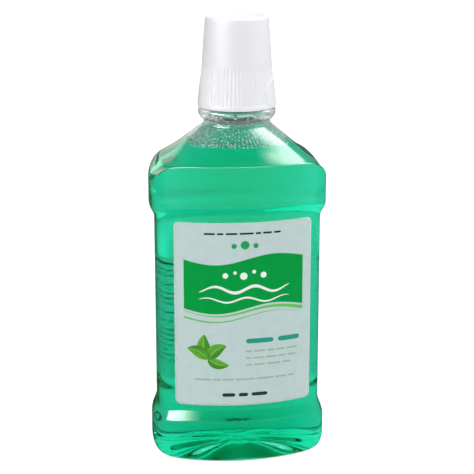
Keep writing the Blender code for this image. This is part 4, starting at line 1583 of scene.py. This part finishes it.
@dataclass
class Studio:
    """The floor, the lamps, the surroundings and the camera at the photograph's angle.

    The floor and the surroundings are white to the camera. Rays through the bottle see painted light:
    levels of their own, by place. Gloss on its outside sees two bright cards, painted reflections. Each
    pair named ends holds the places between which one level goes over into the next.
    """

    camera_place: tuple = (-0.0947, -0.6584, 0.2859)
    camera_aim: tuple = (0.0, 0.0, 0.1022)
    lens: float = 111.4
    shift: float = 0.0005
    bounces: int = 24
    floor_size: float = 12.0
    floor_color: tuple = (0.36, 0.36, 0.36, 1.0)
    floor_drift: tuple = (0.35, 0.35, 0.35, 1.0)
    fill_light: float = 1.00
    front_fill: float = 1.74
    front_fill_ends: tuple = (-1.0, 0.2)
    ceiling_fill: float = 0.62
    ceiling_ends: tuple = (0.2, 1.0)
    room_level: float = 0.06
    behind_ends: tuple = (0.90, 0.99)
    # Painted light: the brighter white that rays through the bottle see.
    through_level: float = 1.7
    floor_glow: float = 0.78
    # Painted light: the floor's glow by place, for rays that have come through the bottle.
    near_glow: float = 0.45
    front_glow: float = 1.10
    front_ends: tuple = (-0.10, -0.05)
    rear_glow: float = 0.34
    rear_ends: tuple = (0.08, 0.16)
    side_glow: float = 1.02
    side_ends: tuple = (0.11, 0.19)
    far_glow: float = 0.57
    far_ends: tuple = (0.32, 0.48)
    far_side_share: float = 0.72
    far_side_ends: tuple = (0.08, 0.42)
    # Painted reflection: floor colours seen in gloss on the bottle's outside.
    front_painted_reflection: float = 0.30
    side_painted_reflection: float = 0.012
    painted_reflection_ends: tuple = (-0.20, -0.08)
    # Painted reflections: two bright cards in the surroundings, seen only in gloss.
    left_card: tuple = (("X", -0.36, -0.86), ("Y", 0.15, -0.15), ("Z", 0.04, 0.14), ("Z", 0.64, 0.46))
    left_level: float = 17.0
    overhead_card: tuple = (("X", 0.26, 0.44), ("Y", -0.45, 0.20), ("Y", 0.65, 0.40), ("Z", 0.55, 0.72))
    overhead_level: float = 9.0
    lamps: tuple = field(default_factory=lambda: (
        Softbox("overhead_softbox", (0.56, 0.04, 0.86), (0.0, 0.0, 0.13), (0.40, 0.85), 5.5),
        Softbox("left_softbox", (-0.78, -0.45, 0.42), (0.0, 0.0, 0.05), (0.65, 0.16), 1.6),
    ))

    def make_camera(self) -> None:
        """Set up the camera."""
        data = bpy.data.cameras.new("camera")
        data.lens = self.lens
        data.sensor_width = 36.0
        data.shift_x = self.shift
        data.clip_start = 0.01
        bpy.context.scene.camera = hang("camera", data, self.camera_place, self.camera_aim)

    def make_floor(self) -> None:
        """A pale floor, white to the camera with the bottle's shadow; painted glow and reflection by place
        for other rays.
        """
        deselect_all()
        bpy.ops.mesh.primitive_plane_add(size=self.floor_size, location=(0.0, 0.0, 0.0))
        floor = bpy.context.active_object
        floor.name = "floor"
        material, tree = new_material("pale_floor")
        place = tree.axes()
        x, y = place["X"], place["Y"]
        paint = tree.mix(tree.grain(4.0, 0.0, 1.0)["Value"], self.floor_color, self.floor_drift)
        # Painted reflection: in gloss on the bottle's outside, the floor is painted darker. It is grey
        # well in front and near black elsewhere.
        outer = tree.math("GREATER_THAN", tree.mask_of_rays("Is Glossy Ray"), tree.mask_of_depth())
        paint = tree.mix(outer, paint, tree.ramp(y, *self.painted_reflection_ends, self.front_painted_reflection, self.side_painted_reflection))
        seen = tree.math(
            "MAXIMUM", tree.mask_of_rays("Is Camera Ray", "Is Transmission Ray"), tree.mask_of_depth())
        # Painted light: for rays through the bottle, the floor glows at levels set by place. It is
        # brighter in front and to the sides, dimmer just behind, and at one level further out.
        flat = tree.add("CombineXYZ", {0: x, 1: y}).outputs[0]
        away = tree.add("VectorMath", {0: flat}, operation="LENGTH").outputs["Value"]
        aside = tree.math("ABSOLUTE", x)
        near = tree.ramp(y, *self.front_ends, self.front_glow, self.near_glow)
        near = tree.ramp(y, *self.rear_ends, near, self.rear_glow)
        near = tree.ramp(aside, *self.side_ends, near, self.side_glow)
        far = tree.ramp(aside, *self.far_side_ends, self.far_glow, self.far_side_share * self.far_glow)
        far = tree.ramp(away, *self.far_ends, near, far)
        level = tree.mix_levels(tree.mask_of_depth(), self.floor_glow, far)
        tree.finish({
            "Base Color": paint, "Roughness": 0.8, "Specular IOR Level": 0.1,
            "Emission Color": WHITE, "Emission Strength": tree.mix_levels(seen, 0.0, level)})
        floor.data.materials.append(material)

    def card(self, tree: Tree, way: bpy.types.NodeOutputs, edges: tuple, level: Feed) -> Feed:
        """A soft-edged bright area of the surroundings: a painted reflection that gloss shows as a
        softbox, and that lights nothing.

        Args:
            tree: the world's nodes.
            way: a ray's direction, split into X, Y and Z.
            edges: for each edge its axis, where it begins and where it is full.
            level: how bright the area is.

        Returns:
            The area's brightness.
        """
        for axis, begin, full in edges:
            level = tree.ramp(way[axis], begin, full, 0.0, level)
        return level

    def make_world(self) -> None:
        """The surroundings: white to the camera, and at levels of their own for other kinds of rays.

        Diffuse light comes in at levels that depend on its direction, gloss sees a dark room with two
        painted cards, and rays through the bottle see a brighter, painted white.
        """
        world = bpy.data.worlds.new("white_surroundings")
        bpy.context.scene.world = world
        world.use_nodes = True
        tree = Tree(world.node_tree)
        way = tree.axes("Generated")
        # Painted reflection: gloss sees a dark room that is white only straight behind, plus two bright
        # cards that give diffuse surfaces no light.
        sheen = tree.ramp(way["Y"], *self.behind_ends, self.room_level, 1.0)
        for edges, level in ((self.left_card, self.left_level), (self.overhead_card, self.overhead_level)):
            sheen = tree.math("ADD", self.card(tree, way, edges, level), sheen)
        fill = tree.ramp(way["Y"], *self.front_fill_ends, self.front_fill, self.fill_light)
        fill = tree.ramp(way["Z"], *self.ceiling_ends, fill, self.ceiling_fill)
        level = tree.mix_levels(tree.mask_of_rays("Is Glossy Ray", "Is Transmission Ray"), fill, sheen)
        # Painted light: rays that have come through the bottle see a brighter white.
        level = tree.mix_levels(tree.mask_of_depth(), level, self.through_level)
        level = tree.mix_levels(tree.mask_of_rays("Is Camera Ray"), level, 1.0)
        back = tree.add("Background", {"Color": WHITE, "Strength": level})
        tree.add("OutputWorld", {"Surface": back.outputs[0]})

    def build(self) -> None:
        """Build the studio."""
        self.make_camera()
        self.make_floor()
        self.make_world()
        for lamp in self.lamps:
            lamp.build()
        bpy.context.scene.view_settings.view_transform = "Standard"
        paths = bpy.context.scene.cycles
        paths.max_bounces = self.bounces
        paths.transmission_bounces = self.bounces
        paths.glossy_bounces = self.bounces // 2


def main() -> None:
    """Build the studio and every piece, in order."""
    logging.basicConfig(level=logging.INFO, format="%(name)s: %(message)s")
    Studio().build()
    bottle = Bottle()
    for part in (bottle, Mouthwash(bottle), Labels(bottle), Cap(), Cup(bottle), Liner()):
        part.build()
    deselect_all()


if __name__ == "__main__":
    main()
